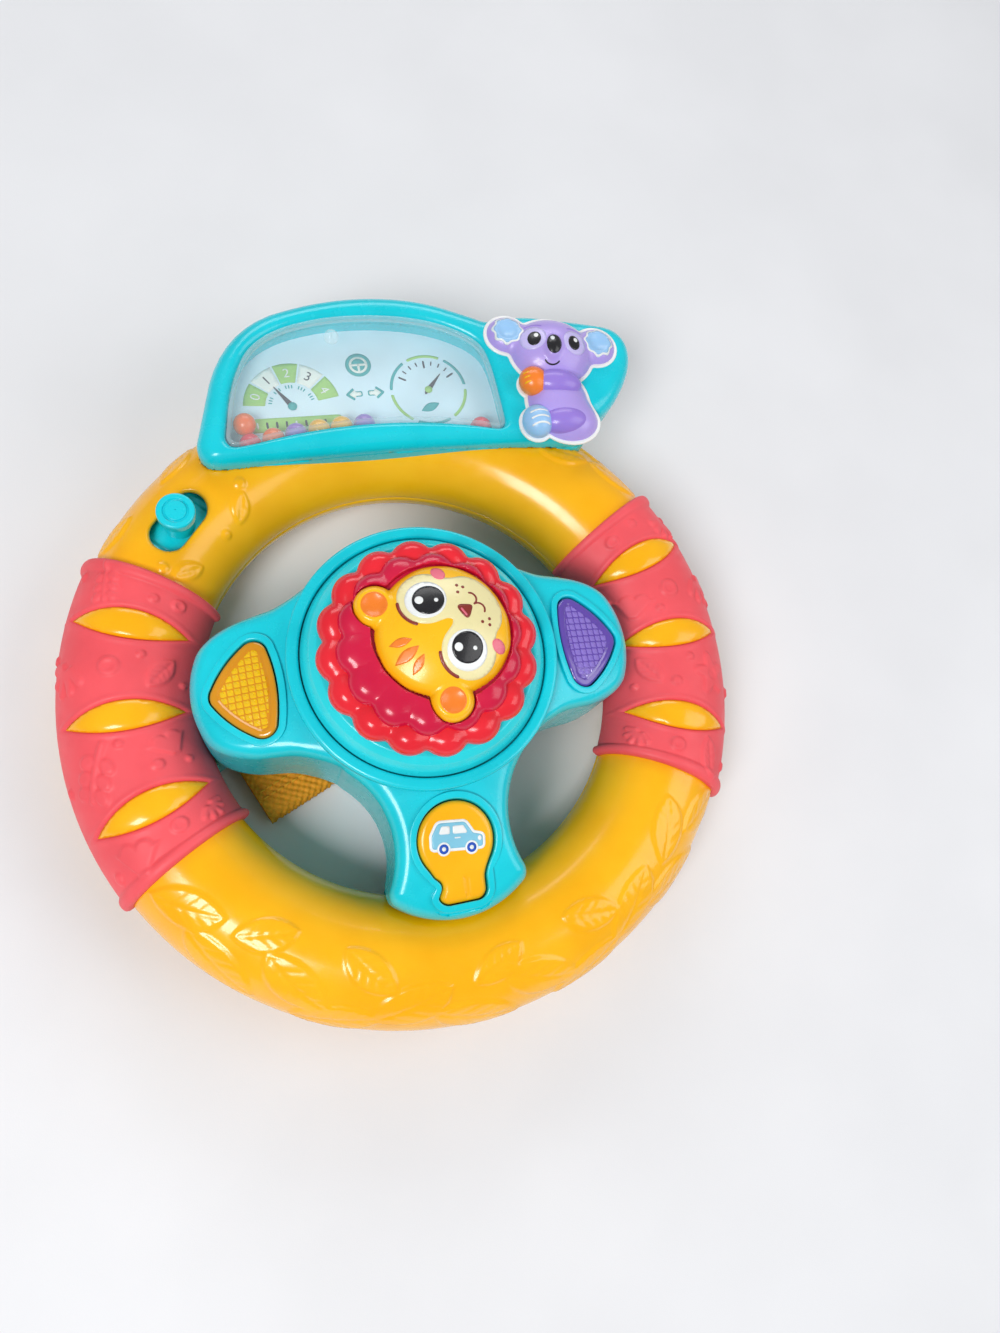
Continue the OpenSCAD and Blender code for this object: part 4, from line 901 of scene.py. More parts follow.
def grip(side, middle, motifs):
    mid = math.radians(middle)
    lens_angles = [mid + math.radians(k * LENS_STEP) for k in (-1, 0, 1)]
    half = math.radians(GRIP_ARC) * RIM_R
    s = np.linspace(-half, half, 214)
    s = np.concatenate([[-half - 0.02] * 3, s, [half + 0.02] * 3])[:, None]
    shut = np.zeros(len(s))
    shut[:3], shut[-3:] = (1, 0.72, 0.3), (0.3, 0.72, 1)
    v0, v1 = math.radians(2), math.radians(178)
    v = np.radians(np.linspace(2, 178, 124))[None]
    u = mid + s / RIM_R + 0 * v
    t = (v - math.pi / 2) * TUBE_R + 0 * s
    s = s + 0 * v
    r = GRIP_R + relief(s, t, motifs, 0.75)
    r += 1.25 * np.sqrt(np.maximum(0, 1 - ((np.abs(s) - half + 1.75) / 1.75) ** 2))
    flat = on_tube(u, v, GRIP_R).reshape(-1, 3)
    d = np.min([window(np.stack(local(flat, a), -1)) for a in lens_angles], 0).reshape(r.shape)
    r += 0.3 * np.exp(-((d - 0.9) / 0.7) ** 2) - 1.4 * soft(d + 0.15, 0.9)
    r -= lip(GRIP_R * np.minimum(v - v0, v1 - v) + 0 * s, 1.3, 1.2)
    r -= (r - TUBE_R - 0.05) * shut[:, None]
    thicken(piece(f"{side}_grip_skin", on_tube(u, v, r).reshape(-1, 3), weave_grid(*r.shape), CORAL,
                  node=f"{side}_grip", slot="coral_grip", sharp=0), 1.2)
    lens_xy, tri = fill(even(level_path(window, (0.0, 0.0), 180)(-0.3), 0.5), 0.8)
    pad_r = GRIP_R - 0.75 + 1.25 * (1 - np.exp(np.minimum(window(lens_xy), 0) / 1.1))
    pads = []
    for a in lens_angles:
        xy = turn(lens_xy + [RIM_R, 0], -a)
        pads.append((np.column_stack([xy, RIM_Z + tube_rise(xy, pad_r)]), tri))
    thicken(piece(f"{side}_lens_pads", *merge(pads), sharp=0, **YELLOW_PART), 1.0)


rim_front()
rim_rear()
grip("left", 180, LEFT_MOTIFS)
grip("right", 0, RIGHT_MOTIFS)

# Signal buttons: a smooth bevelled margin round a field of small pyramids
PITCH = 2.0


def margin_top(xy):
    d = signal_field(xy)
    return dome_height(xy, 0.4) - round_off(d, 0.9) - 0.4 * soft(d + 2.1, 0.6)


def prism_top(xy):
    cell = np.abs((xy / PITCH) % 1 - 0.5).max(1)
    return dome_height(xy, -0.1) + np.where(signal_field(xy) < -2.5, 0.75 * (1 - 2 * cell), 0)


for side, s, slot, mat, margin in SIDES:
    path = signal_path(s, 200)
    kw = dict(body=f"{side}_signal", slot=slot, sharp=28)
    rings = [path(-k) for k in (0, 0.12, 0.3, 0.55, 0.9, 1.6, 1.8, 2.1, 2.4)]
    cap(f"{side}_lens", rings, margin_top, 44, margin, node=f"{side}_signal_button", **kw)
    at = np.arange(-150, 151) * PITCH / 4
    grid = np.stack(np.meshgrid(at, at[np.abs(at) < 20]), -1).reshape(-1, 2)
    cap(f"{side}_prisms", [path(-k) for k in (2.3, 2.45)], prism_top, 50, mat, grid, 0.3, **kw)

# Key with a car on its head
CAR = rounded([(-7.2, -2.6), (7.4, -2.6), (7.4, 0.6), (4.6, 1.2), (2.4, 4.4), (-5.4, 4.4), (-7.2, 1.0)],
              [0.9, 0.9, 1.0, 0.8, 1.6, 1.8, 0.8], 8)


def key_top(xy):
    d = key_field(xy)
    groove = soft(np.abs(xy[:, 0] - 1.4) - 0.55, 0.5) * soft(np.abs(xy[:, 1] + 66) - 3.0, 0.8)
    return dome_height(xy, 0.5) - round_off(d, 1.8) - 0.5 * groove


def key():
    path = level_path(key_field, KEY_SEED, 300)
    rings = [path(-k) for k in (0, 0.1, 0.3, 0.6, 1.0, 1.4, 1.8)]
    cap("key_face", rings, key_top, 42, step=0.6, body="key", node="key_button", **YELLOW_PART)
    place = lambda outline: moved(outline, (KEY_AT[0] + 0.2, KEY_AT[1] + 0.4), -6)
    show = printer("car", place, key_top, "key", usual_step=0.5)
    show("backing", level_path(lambda q: polygon(q, CAR), (0.0, 0.6), 160)(0.75), WHITE, 0.06)
    show("body", CAR, KEY_BLUE, 0.13)
    axle_y = -2.7
    for k, x in enumerate((-3.9, 4.1)):
        for name, r, mat, lift in (("tyre", 1.9, WHITE, 0.18), ("wheel", 1.35, CARD_BLUE, 0.24),
                                   ("hub", 0.6, WHITE, 0.3)):
            show(f"{name}_{k}", arc(x, axle_y, r, r), mat, lift)
    show("rear_window", rounded([(-5.3, 1.3), (-2.0, 1.3), (-2.0, 3.5), (-4.4, 3.5)], 0.5), WHITE, 0.2)
    show("front_window", rounded([(-1.2, 1.3), (3.2, 1.3), (1.9, 3.5), (-1.2, 3.5)], 0.5), WHITE, 0.2)
    show("lamp", arc(6.5, -0.3, 0.55, 0.7), WHITE, 0.2)
    show("handle", stroke([(-0.6, 0.2), (0.9, 0.2)], 0.35), WHITE, 0.2)


key()

# Spinner: disc, two tiers of mane and the lion's face
FACE_DOME, FACE_CROWN, HEAD_R = 30.0, 81.2, 18.3
EAR_AT, EAR_R = (15.6, 9.6), 5.7


def mane_field(p, n, reach, lobe, low, deck, edge, lumps):
    """A padded disc with a scalloped edge; a row of lumps has its phase, radius, width and height."""
    rad, a = np.hypot(p[:, 0], p[:, 1]), np.arctan2(p[:, 1], p[:, 0])
    pitch = 2 * math.pi / n
    fold = lambda phase: (a - phase * pitch + pitch / 2) % pitch - pitch / 2
    d = rad - reach + lobe
    for k in (-1, 0, 1):
        q = fold(0) - k * pitch
        d = join(d, np.hypot(rad * np.cos(q) - reach + lobe, rad * np.sin(q)) - lobe, 1.0)
    top = deck
    for phase, at, wide, high in lumps:
        q = fold(phase)
        top = top + high * np.exp(-((rad * np.cos(q) - at) ** 2 + (rad * np.sin(q)) ** 2) / wide ** 2)
    return np.maximum(cut(d, p[:, 2] - top, edge), low - p[:, 2])


def lion(xy):
    """Points of the plane in the lion's own frame: x across the face, y from chin to brow."""
    return (turn(xy, LION_TURN) + [0, FACE_SHIFT]) / FACE_SIZE


def from_lion(q):
    return turn(np.asarray(q, float) * FACE_SIZE - [0, FACE_SHIFT], -LION_TURN)


def head_zone(xy):
    q = lion(xy)
    ears = np.hypot(np.abs(q[:, 0]) - EAR_AT[0], q[:, 1] - EAR_AT[1]) - EAR_R
    return np.minimum(length(q) - HEAD_R, ears)


def face_field(p):
    q = np.column_stack([lion(p[:, :2]), p[:, 2]])
    head = np.hypot(q[:, 0] * (1 + 0.005 * (q[:, 1] + 4)), q[:, 1]) - HEAD_R
    crown = length(q - np.array([0, 0, FACE_CROWN - FACE_DOME])) - FACE_DOME
    d = cut(head, crown, 2.6)
    q[:, 0] = np.abs(q[:, 0])
    ear = ball(q, (*EAR_AT, 73.6), (EAR_R, EAR_R, 4.4))
    ear = cut(ear, -ball(q, (16.1, 10.2, 80.2), (5.4, 5.4, 4.6)), 0.8)
    return np.maximum(join(d, ear, 0.8), FACE_Z - q[:, 2])


def spinner():
    profile = [(28, 56.3), (SPIN_R, 56.3), (SPIN_R, 59.3), (34.3, 61.8), (32.9, 64.5), (31.0, SPIN_TOP),
               (0.3, SPIN_TOP), (0.3, 63.6), (28, 63.6)]
    p, faces = lathe(rounded(profile, [0.2, 0.3, 0.8, 2.0, 2.0, 1.0, 0, 0, 0.4], 6), 220)
    piece("spinner_disc", p, faces, PALE_TEAL, "spinner", "spinner_dome", "spinner_plastic")
    outer = lambda p: mane_field(p, 16, 31.4, 6.8, MANE_Z, 71.0, 3.8, [(0, 26.5, 4.2, 1.3)])
    solid("mane_outer", outer, (-33, -33, 66), (33, 33, 74.5), 0.5, RED, body="spinner", node="outer_mane",
          slot="mane_red")
    lumps = [(0, 20.6, 4.0, 1.3), (0.5, 15.8, 3.6, 1.1)]
    tufts = lambda p: mane_field(p, 14, 26.2, 6.4, TUFT_Z, 74.4, 3.2, lumps)
    inner = lambda p: cut(tufts(p), -np.maximum(head_zone(p[:, :2]) - 0.3, FACE_Z - 0.2 - p[:, 2]), 0.2)
    solid("mane_inner", inner, (-28, -28, 70), (28, 28, 78), 0.5, CRIMSON, body="spinner", node="inner_mane",
          slot="mane_crimson")


def mask(q):
    eye = np.hypot(np.abs(q[:, 0]) - 8.8, q[:, 1] + 0.8) - 7.3
    muzzle = np.hypot(q[:, 0] / 1.3, q[:, 1] + 9.6) - 7.0
    return join(eye, muzzle, 3.0)


def face():
    solid("lion_head", face_field, (-26, -26, 72.6), (28, 26, 82), 0.5, FACE, body="spinner",
          node="lion_face", slot="lion_yellow")
    show = printer("lion", from_lion, lambda xy: drop(face_field, xy, 82, 72), "spinner")
    show("mask", level_path(mask, (0, -6.0), 200)(0.0), CREAM, 0.06)
    for side, s in (("left", -1), ("right", 1)):
        x, y = 8.4 * s, -0.4
        look_x = x - 0.5 * s
        show(f"{side}_eye", arc(x, y, 5.2, 5.4), WHITE, 0.12, 0.6)
        show(f"{side}_pupil", arc(look_x, y - 0.4, 4.0, 4.2), INK, 0.18, 0.6)
        show(f"{side}_glint", arc(look_x + 1.4, y + 1.5, 1.1, 1.1), WHITE, 0.24, 0.4)
        show(f"{side}_spark", arc(look_x - 1.3, y - 1.9, 0.55, 0.55), WHITE, 0.24, 0.3)
        show(f"{side}_brow", stroke(arc(x, y, 7.0, 7.2, 58, 122, 12), 0.8), BROWN, 0.12, 0.5)
        curl = arc(1.75, -9.7, 1.75, 1.9, 185, 325, 16) * [s, 1]
        show(f"{side}_smile", stroke(curl, 0.5), BROWN, 0.14, 0.4)
        for k, (spot_x, spot_y) in enumerate(((5.0, -8.4), (6.7, -9.6), (5.4, -10.6))):
            show(f"{side}_whisker_{k}", arc(s * spot_x, spot_y, 0.42, 0.42, n=20), BROWN, 0.14, 0.3)
        show(f"{side}_cheek", arc(s * 12.4, -8.2, 2.1, 1.7), PINK, 0.12, 0.5)
        show(f"{side}_ear", arc(s * 15.9, 10.0, 3.4, 3.4), ORANGE, 0.06, 0.6)
    show("nose", rounded([(-3.0, -5.2), (0, -9.4), (3.0, -5.2)], [1.4, 0.9, 1.4], 8), BROWN, 0.16, 0.5)
    show("nose_shine", stroke([(-1.2, -6.0), (0.8, -6.0)], 0.55), PINK, 0.24, 0.3)
    t = np.linspace(-0.5, 0.5, 24)
    edge = np.column_stack([0.2 * np.cos(math.pi * t), t])
    tuft = np.vstack([edge, (edge * [-1, 1])[::-1][1:-1]])
    for k, (x, y, lean, size) in enumerate(((0, 12.4, 0, 7.4), (-3.6, 11.6, 24, 5.8), (3.6, 11.6, -24, 5.8))):
        show(f"tuft_{k}", moved(tuft, (x, y), lean, size), ORANGE, 0.1, 0.6)


spinner()
face()


# Slider on the rim: a knob on a neck and the curved plate that it rides on
def slider():
    c, s = math.cos(SLOT_ANGLE), math.sin(SLOT_ANGLE)
    profile = [(0.15, 15.2), (4.6, 15.2), (4.0, 18), (3.3, 22.6), (5.7, 23.2), (5.7, 26.8), (3.9, 26.8),
               (3.7, 26.2), (3.3, 26.2), (3.1, 26.9), (0.15, 27.1)]
    corner = [0, 0.3, 1.5, 0.9, 0.7, 1.0, 0.25, 0.15, 0.15, 0.25, 0]
    knob = rounded([(r, RIM_Z + z) for r, z in profile], corner, 6)
    piece("slider_button", *lathe(knob, 72, (RIM_R * c, RIM_R * s)), body="slider", node="slider_knob",
          **TEAL_PART)
    nu, nv, half = 60, 40, 13
    y, v = np.meshgrid(np.linspace(-half, half, nu), np.radians(np.linspace(122, 58, nv)), indexing="ij")
    rib = 0.22 * np.cos(y * math.pi / 1.3) * soft(np.abs(np.abs(y) - 10.2) - 2.2, 0.4)
    corners = (y / half) ** 2 * ((v - math.pi / 2) / math.radians(32)) ** 2
    r = 15.45 + rib - corners - lip(half - np.abs(y), 0.5, 0.8)
    x = RIM_R + r * np.cos(v)
    p = np.stack([x * c - y * s, x * s + y * c, RIM_Z + r * np.sin(v)], -1).reshape(-1, 3)
    thicken(piece("slider_bed", p, weave_grid(nu, nv)[:, ::-1], body="slider", node="slider_plate", sharp=0,
                  **TEAL_PART), 1.2)


slider()

# Dash: housing, clear window, printed card, beads
TRAY = eased([(39.3, 78), (38.8, 99), (36, 106), (20, 113.8), (-7, 116.4), (-30, 111.2), (-38, 97),
              (-41.5, 80.6)])
TRAY_BOW, TRAY_BOW_R = (-3.9, -92.39), 172.39
DASH_SCREWS = [(-49.5, 81), (48.5, 109.5), (58, 76), (77, 99)]
CARD_Z, FILM = 35.86, 0.03
DIAL_AT, GAUGE_AT, ARROWS_AT, SIGN_AT = (-23.0, 94.5), (22.5, 96.5), (1.2, 97), (0.6, 107.6)


def tray_field(xy):
    return cut(polygon(xy, TRAY) - 5, -disc(xy, TRAY_BOW, TRAY_BOW_R), 2.5)


def dash_front_field(p):
    xy = p[:, :2]
    d = cut(dash_outline(xy), p[:, 2] - DASH_FACE - 0.2, 5.2)
    room = tray_field(xy)
    d = cut(d, -room - 1.0, 2.4)
    d = cut(d, -np.maximum(room, p[:, 2] - 43.4), 0.3)
    return np.maximum(d, DASH_PART + 0.08 - p[:, 2])


def dash_rear_field(p):
    xy = p[:, :2]
    d = cut(dash_outline(xy) + 0.12, DASH_BACK - p[:, 2], 2.2)
    for at in DASH_SCREWS:
        d = cut(d, np.maximum(p[:, 2] - DASH_BACK - 1.4, 0) - disc(xy, at, 2.5), 0.25)
    d = cut(d, -np.maximum(tray_field(xy) - 0.1, CARD_Z - 0.6 - p[:, 2]), 0.2)
    return np.maximum(d, p[:, 2] - DASH_PART + 0.08)


def flat_at(z):
    return lambda xy: np.full(len(xy), z)


def dash():
    lo, hi = (-56, 66, 32.6), (93, 128, 48)
    solid("dash_frame", dash_front_field, lo, hi, 0.62, node="dash_front", **TEAL_PART)
    solid("dash_pan", dash_rear_field, lo, hi, 0.75, node="dash_rear", **TEAL_PART)
    n = 360
    path = level_path(tray_field, (0, 96.0), n)
    cap("window_pane", [path(-k) for k in (2.5, 2.7, 3.0)], flat_at(46.3), 44.8, CLEAR, step=4.0,
        node="dash_window", slot="clear_window")
    edge = rounded([(-1.2, 44.9), (-1.2, 46.7), (-2.4, 46.9), (-2.6, 44.9)], [0.1, 0.4, 0.6, 0.1], 6)
    rings = [np.column_stack([path(k), np.full(n, z)]) for k, z in edge]
    piece("window_edge", *loft(rings), CLEAR_EDGE, slot="clear_window")
    plug = [(0.1, 46.0), (2.4, 46.0), (2.4, 46.8), (1.7, 47.2), (2.2, 47.9), (1.4, 48.5), (0.1, 48.7)]
    p, faces = lathe(rounded(plug, [0, 0.1, 0.3, 0.4, 0.7, 0.7, 0], 6), 48, (-8, 112))
    piece("window_plug", p, faces, CLEAR_EDGE, slot="clear_window")
    cap("card", [path(k) for k in (1.0, 0.9, 0.6)], flat_at(35.85), 35.3, CARD, step=5.0, node="dial_card",
        slot="printed_card")


def layer_lift(layer):
    return 0.03 + 0.04 * layer


def card_print(name, outline, mat, layer):
    print_on(f"card_{name}", outline, flat_at(CARD_Z), mat, lift=layer_lift(layer), step=1.2,
             slot="printed_card", thick=FILM)


def numeral(text, at, size, angle, mat, layer):
    """A number in Blender's own font, laid flat on the card."""
    curve = bpy.data.curves.new("numeral", "FONT")
    curve.body, curve.align_x, curve.align_y, curve.size = text, "CENTER", "CENTER", size
    ob = bpy.data.objects.new("numeral", curve)
    bpy.context.scene.collection.objects.link(ob)
    me = ob.evaluated_get(bpy.context.evaluated_depsgraph_get()).to_mesh()
    xy = np.array([v.co[:2] for v in me.vertices])
    faces = [f.vertices[:] for f in me.polygons]
    bpy.data.objects.remove(ob)
    tri = np.array([(f[0], f[k], f[k + 1]) for f in faces for k in range(1, len(f) - 1)])
    p = np.column_stack([moved(xy, at, angle), np.full(len(xy), CARD_Z + layer_lift(layer))])
    thicken(piece(f"card_number_{text}", p, tri, mat, slot="printed_card", sharp=0), FILM)


def tick(name, at, r0, r1, degrees, width, mat, layer):
    card_print(name, stroke([polar(at, r, degrees) for r in (r0, r1)], width), mat, layer)


def needle(name, at, degrees, reach, half, tail):
    tip = math.radians(degrees)
    corners = [(at[0] + r * math.cos(tip + w), at[1] + r * math.sin(tip + w))
               for r, w in ((reach, 0), (half, 1.57), (tail, 3.14), (half, -1.57))]
    card_print(name, rounded(corners, [0.2, 0.5, 0.7, 0.5]), CARD_INK, 2)


def half_leaf(s):
    t = np.linspace(-0.5, 0.5, 16) * s
    return np.column_stack([t * 7.0, s * 1.5 * np.cos(t * math.pi)])[:-1]


def card_prints():
    for k in range(5):
        a = 174 - 33.6 * k
        card_print(f"dial_{k}", band(DIAL_AT, 8.6, 15.6, a, a - 31), (CARD_GREEN, CARD_PALE)[k % 2], 0)
        mid = a - 15.5
        numeral(str(k), polar(DIAL_AT, 12, mid), 4.6, mid - 90, (CARD_PALE, CARD_INK)[k % 2], 1)
        for j in range(1, 4):
            tick(f"dial_tick_{k}_{j}", DIAL_AT, 6.6, 7.6, a - 31 * j / 4, 0.4, CARD_TEAL, 1)
    needle("dial_needle", DIAL_AT, 124, 10.4, 1.0, 2.2)
    card_print("dial_hub", arc(*DIAL_AT, 1.5, 1.5), CARD_TEAL, 3)
    card_print("bar", soft_outline([(-36, 87.6), (-9, 86.8), (-9, 88.8), (-36, 89.6)], 1.5), CARD_GREEN, 0)
    for k in range(9):
        x = -35 + 3.1 * k
        slope = 0.03 * (x + 36)
        card_print(f"bar_mark_{k}", stroke([(x, 87.7 - slope), (x, 89.5 - slope)], 0.7),
                   CARD_INK if k % 4 else CARD_PALE, 1)
    for k in range(6):
        arc_band = band(GAUGE_AT, 12.0, 13.0, 60 * k + 4, 60 * k + 56)
        card_print(f"gauge_arc_{k}", arc_band, (CARD_TEAL, CARD_GREEN)[k % 2], 0)
    for k in range(9):
        inner, width = (9.2, 0.45) if k % 4 else (8.2, 0.65)
        tick(f"gauge_tick_{k}", GAUGE_AT, inner, 10.6, 30 + 15 * k, width, CARD_INK, 0)
    leaf_at = (GAUGE_AT[0] - 0.5, GAUGE_AT[1] - 6.4)
    card_print("gauge_leaf", np.vstack([moved(half_leaf(s), leaf_at, 20) for s in (1, -1)]), CARD_TEAL, 0)
    needle("gauge_needle", GAUGE_AT, 48, 8.6, 0.9, 3.0)
    card_print("gauge_hub", arc(*GAUGE_AT, 1.3, 1.3), CARD_GREEN, 3)
    head = [(0.9, 1.0), (3.6, 1.0), (3.6, 2.6), (6.6, 0), (3.6, -2.6), (3.6, -1.0), (0.9, -1.0)]
    for k, s in enumerate((-1, 1)):
        outer = rounded([(s * x, y) for x, y in head][::s], 0.35)
        inner = rounded([(s * (1.5 + 0.72 * (x - 1.2)), 0.66 * y) for x, y in head][::s], 0.2)
        card_print(f"arrow_{k}", moved(outer, ARROWS_AT), CARD_TEAL, 0)
        card_print(f"arrow_inside_{k}", moved(inner, ARROWS_AT), CARD_PALE, 1)
    for layer, (name, r, mat) in enumerate((("disc", 4.3, CARD_TEAL), ("ring", 3.1, CARD_PALE),
                                            ("gap", 2.3, CARD_TEAL))):
        card_print(f"wheel_{name}", arc(*SIGN_AT, r, r), mat, layer)
    for k, a in enumerate((180, 0, 270)):
        tick(f"wheel_spoke_{k}", SIGN_AT, 0, 2.5, a, 0.8, CARD_PALE, 3)


def beads():
    pitch, bow_r = 7.32, 176.09
    place = lambda x: np.array([x, TRAY_BOW[1] + math.sqrt(bow_r ** 2 - (x - TRAY_BOW[0]) ** 2), 39.58])
    row = [place(-38.2 + pitch * k) for k in range(6)]
    stacked = row[0] + pitch * np.array([-0.12, 0.99, 0])
    sets = [("red_row", "red", "bead_row", "red_beads", [row[0]]),
            ("red_stray", "red", "stray_bead", "loose_bead", [place(36.5)]),
            ("orange_row", "orange", "bead_row", "orange_beads", [row[1], stacked]),
            ("purple_row", "purple", "bead_row", "purple_beads", [row[2], row[5]]),
            ("yellow_row", "yellow", "bead_row", "yellow_beads", [row[3], row[4]])]
    t = np.radians(np.linspace(-90, 90, 41))
    r = 3.56 + 0.06 * np.exp(-(t / 0.035) ** 2) - 0.1 * np.exp(-((t - math.pi / 2) / 0.16) ** 2)
    p, faces = lathe(np.column_stack([np.maximum(r * np.cos(t), 0.01), r * np.sin(t)]), 48)
    for k, (name, colour, body, node, places) in enumerate(sets):
        parts = []
        for j, at in enumerate(places):
            tilt = Matrix.Rotation(0.7 + 1.1 * k + 2.0 * j, 3, "X") @ Matrix.Rotation(0.5 + 0.8 * j, 3, "Y")
            parts.append((p @ np.array(tilt).T + at, faces))
        piece(f"bead_{name}", *merge(parts), BEADS[colour], body, node, f"{colour}_bead")


dash()
card_prints()
beads()

# Koala on the dash
DECK = 46.9
KOALA_FOOT = DECK - 0.4
KOALA_TURN, KOALA_HEAD = math.radians(-13), (63.6, 99.8)
KOALA_SLOT = "koala_lavender"
LIMBS = {"arm": ((62.0, 86.6, 50.4), (8.2, 4.6, 4.6), -12, VIOLET_PAINT),
         "paw": ((54.2, 88.4, 50.2), (4.8, 4.9, 4.4), 0, ORANGE),
         "leg": ((62.4, 74.0, 48.8), (8.0, 5.0, 4.8), -4, VIOLET_PAINT),
         "foot": ((53.0, 74.6, 48.8), (5.0, 5.6, 4.8), 0, SKY)}


def head_at(q):
    """Points of the koala's head frame in the plane: x towards its left ear, y towards its crown."""
    return turn(np.asarray(q, float), -KOALA_TURN) + KOALA_HEAD


def koala_head_field(p):
    q = np.column_stack([turn(p[:, :2] - np.array(KOALA_HEAD), KOALA_TURN), p[:, 2]])
    d = ball(q, (0, 0, 44.6), (14.6, 12.4, 10.8))
    for s in (-1, 1):
        ear = ball(q, (15.2 * s, 4.4, 45.2), (7.4, 7.0, 6.4))
        ear = cut(ear, -ball(q, (15.8 * s, 4.6, 54.6), (5.8, 5.6, 5.2)), 0.7)
        d = join(d, ear, 1.6)
    d = join(d, ball(q, (-1.0, -2.0, 53.6), (3.3, 4.3, 3.0)), 0.8)
    return np.maximum(d, KOALA_FOOT - p[:, 2])


def koala_body_field(p):
    d = join(ball(p, (62, 81.5, 43.6), (11.2, 13.0, 9.6)), ball(p, (65.5, 74.0, 44.2), (9.4, 7.6, 8.0)), 3.0)
    return np.maximum(d, KOALA_FOOT - p[:, 2])


def koala_field(p):
    return join(koala_head_field(p), koala_body_field(p), 1.2)


def limb_field(p, name):
    at, radii, angle, _ = LIMBS[name]
    q = np.column_stack([turn(p[:, :2] - np.array(at[:2]), math.radians(angle)), p[:, 2] - at[2]])
    return np.maximum(ball(q, (0, 0, 0), radii), KOALA_FOOT - p[:, 2])


def koala_edge(p):
    """The flat pale edge round the whole figure."""
    flat = np.column_stack([p[:, :2], np.full(len(p), DECK + 0.6)])
    d = np.min([koala_field(flat)] + [limb_field(flat, n) for n in LIMBS], 0) - 1.0
    return cut(cut(d, p[:, 2] - DECK - 0.65, 0.5), DECK - 0.5 - p[:, 2], 0.2)


def koala_printer(place, field):
    return printer("koala", place, lambda xy: drop(field, xy, 58, 46), slot=KOALA_SLOT)


def koala():
    solid("koala_figure", koala_field, (40, 63, 46), (92, 118, 57.5), 0.55, LAVENDER, node="koala",
          slot=KOALA_SLOT)
    for name, (at, radii, _, skin) in LIMBS.items():
        reach = max(radii) + 1
        solid(f"koala_{name}", lambda p: limb_field(p, name), (at[0] - reach, at[1] - reach, DECK - 0.6),
              (at[0] + reach, at[1] + reach, at[2] + radii[2] + 0.6), 0.45, skin, slot=KOALA_SLOT)
    solid("koala_edge", koala_edge, (38, 62, 46), (94, 120, 48), 0.5, WHITE, slot=KOALA_SLOT)
    show = koala_printer(head_at, koala_field)
    a = np.linspace(0, 2 * math.pi, 90, endpoint=False)
    wave = 1 + 0.07 * np.cos(8 * a)
    for side, s in (("right", -1), ("left", 1)):
        ear = lambda r: np.column_stack([15.6 * s + r * wave * np.cos(a), 4.6 + r * wave * np.sin(a)])
        show(f"{side}_ear_edge", ear(5.0), WHITE, 0.06, 0.6)
        show(f"{side}_ear", ear(4.35), SKY, 0.12, 0.6)
        show(f"{side}_patch", arc(7.0 * s - 0.6, 0.8, 4.1, 4.4), PATCH, 0.06)
        show(f"{side}_eye", arc(6.7 * s - 0.6, 0.4, 2.1, 2.6), INK, 0.13, 0.5)
        show(f"{side}_glint", arc(6.7 * s - 0.1, 1.5, 0.7, 0.8), WHITE, 0.2, 0.3)
        brow = stroke(arc(7.0 * s - 0.6, 0.8, 5.4, 5.6, 62, 118, 10), 0.5)
        show(f"{side}_brow", brow, VIOLET_PAINT, 0.1, 0.4)
    show("nose", arc(-1.0, -1.8, 2.5, 3.5), INK, 0.1, 0.5)
    show("nose_shine", arc(-1.7, -0.1, 0.7, 0.9), GREY, 0.18, 0.3)
    show("smile", stroke(arc(-1.0, -6.0, 2.5, 1.9, 205, 335, 16), 0.45), INK, 0.1, 0.4)
    show = koala_printer(np.asarray, lambda p: limb_field(p, "foot"))
    x = np.linspace(50.2, 55.8, 14)
    for k in range(3):
        y = 72.2 + 2.2 * k - 0.05 * (x - 53) ** 2
        show(f"foot_stripe_{k}", stroke(np.column_stack([x, y]), 0.6), WHITE, 0.1, 0.4)
    show = koala_printer(np.asarray, lambda p: limb_field(p, "paw"))
    for k in range(3):
        y = 86.6 + 1.7 * k
        show(f"claw_{k}", stroke([(50.6, y), (52.0, y)], 0.55), YELLOW, 0.1, 0.4)


koala()

# Strap: a flat loop of coarse webbing, modelled as it is sewn
STRAP_AT, STRAP_TURN = (-37.5, -29.1), math.radians(113)
STRAP_L, STRAP_W, STRAP_T, STRAP_Z, STRAP_H = 49.0, 25.0, 1.5, 0.9, 6.4


def from_strap(xy):
    return turn(xy, -STRAP_TURN) + np.array(STRAP_AT)


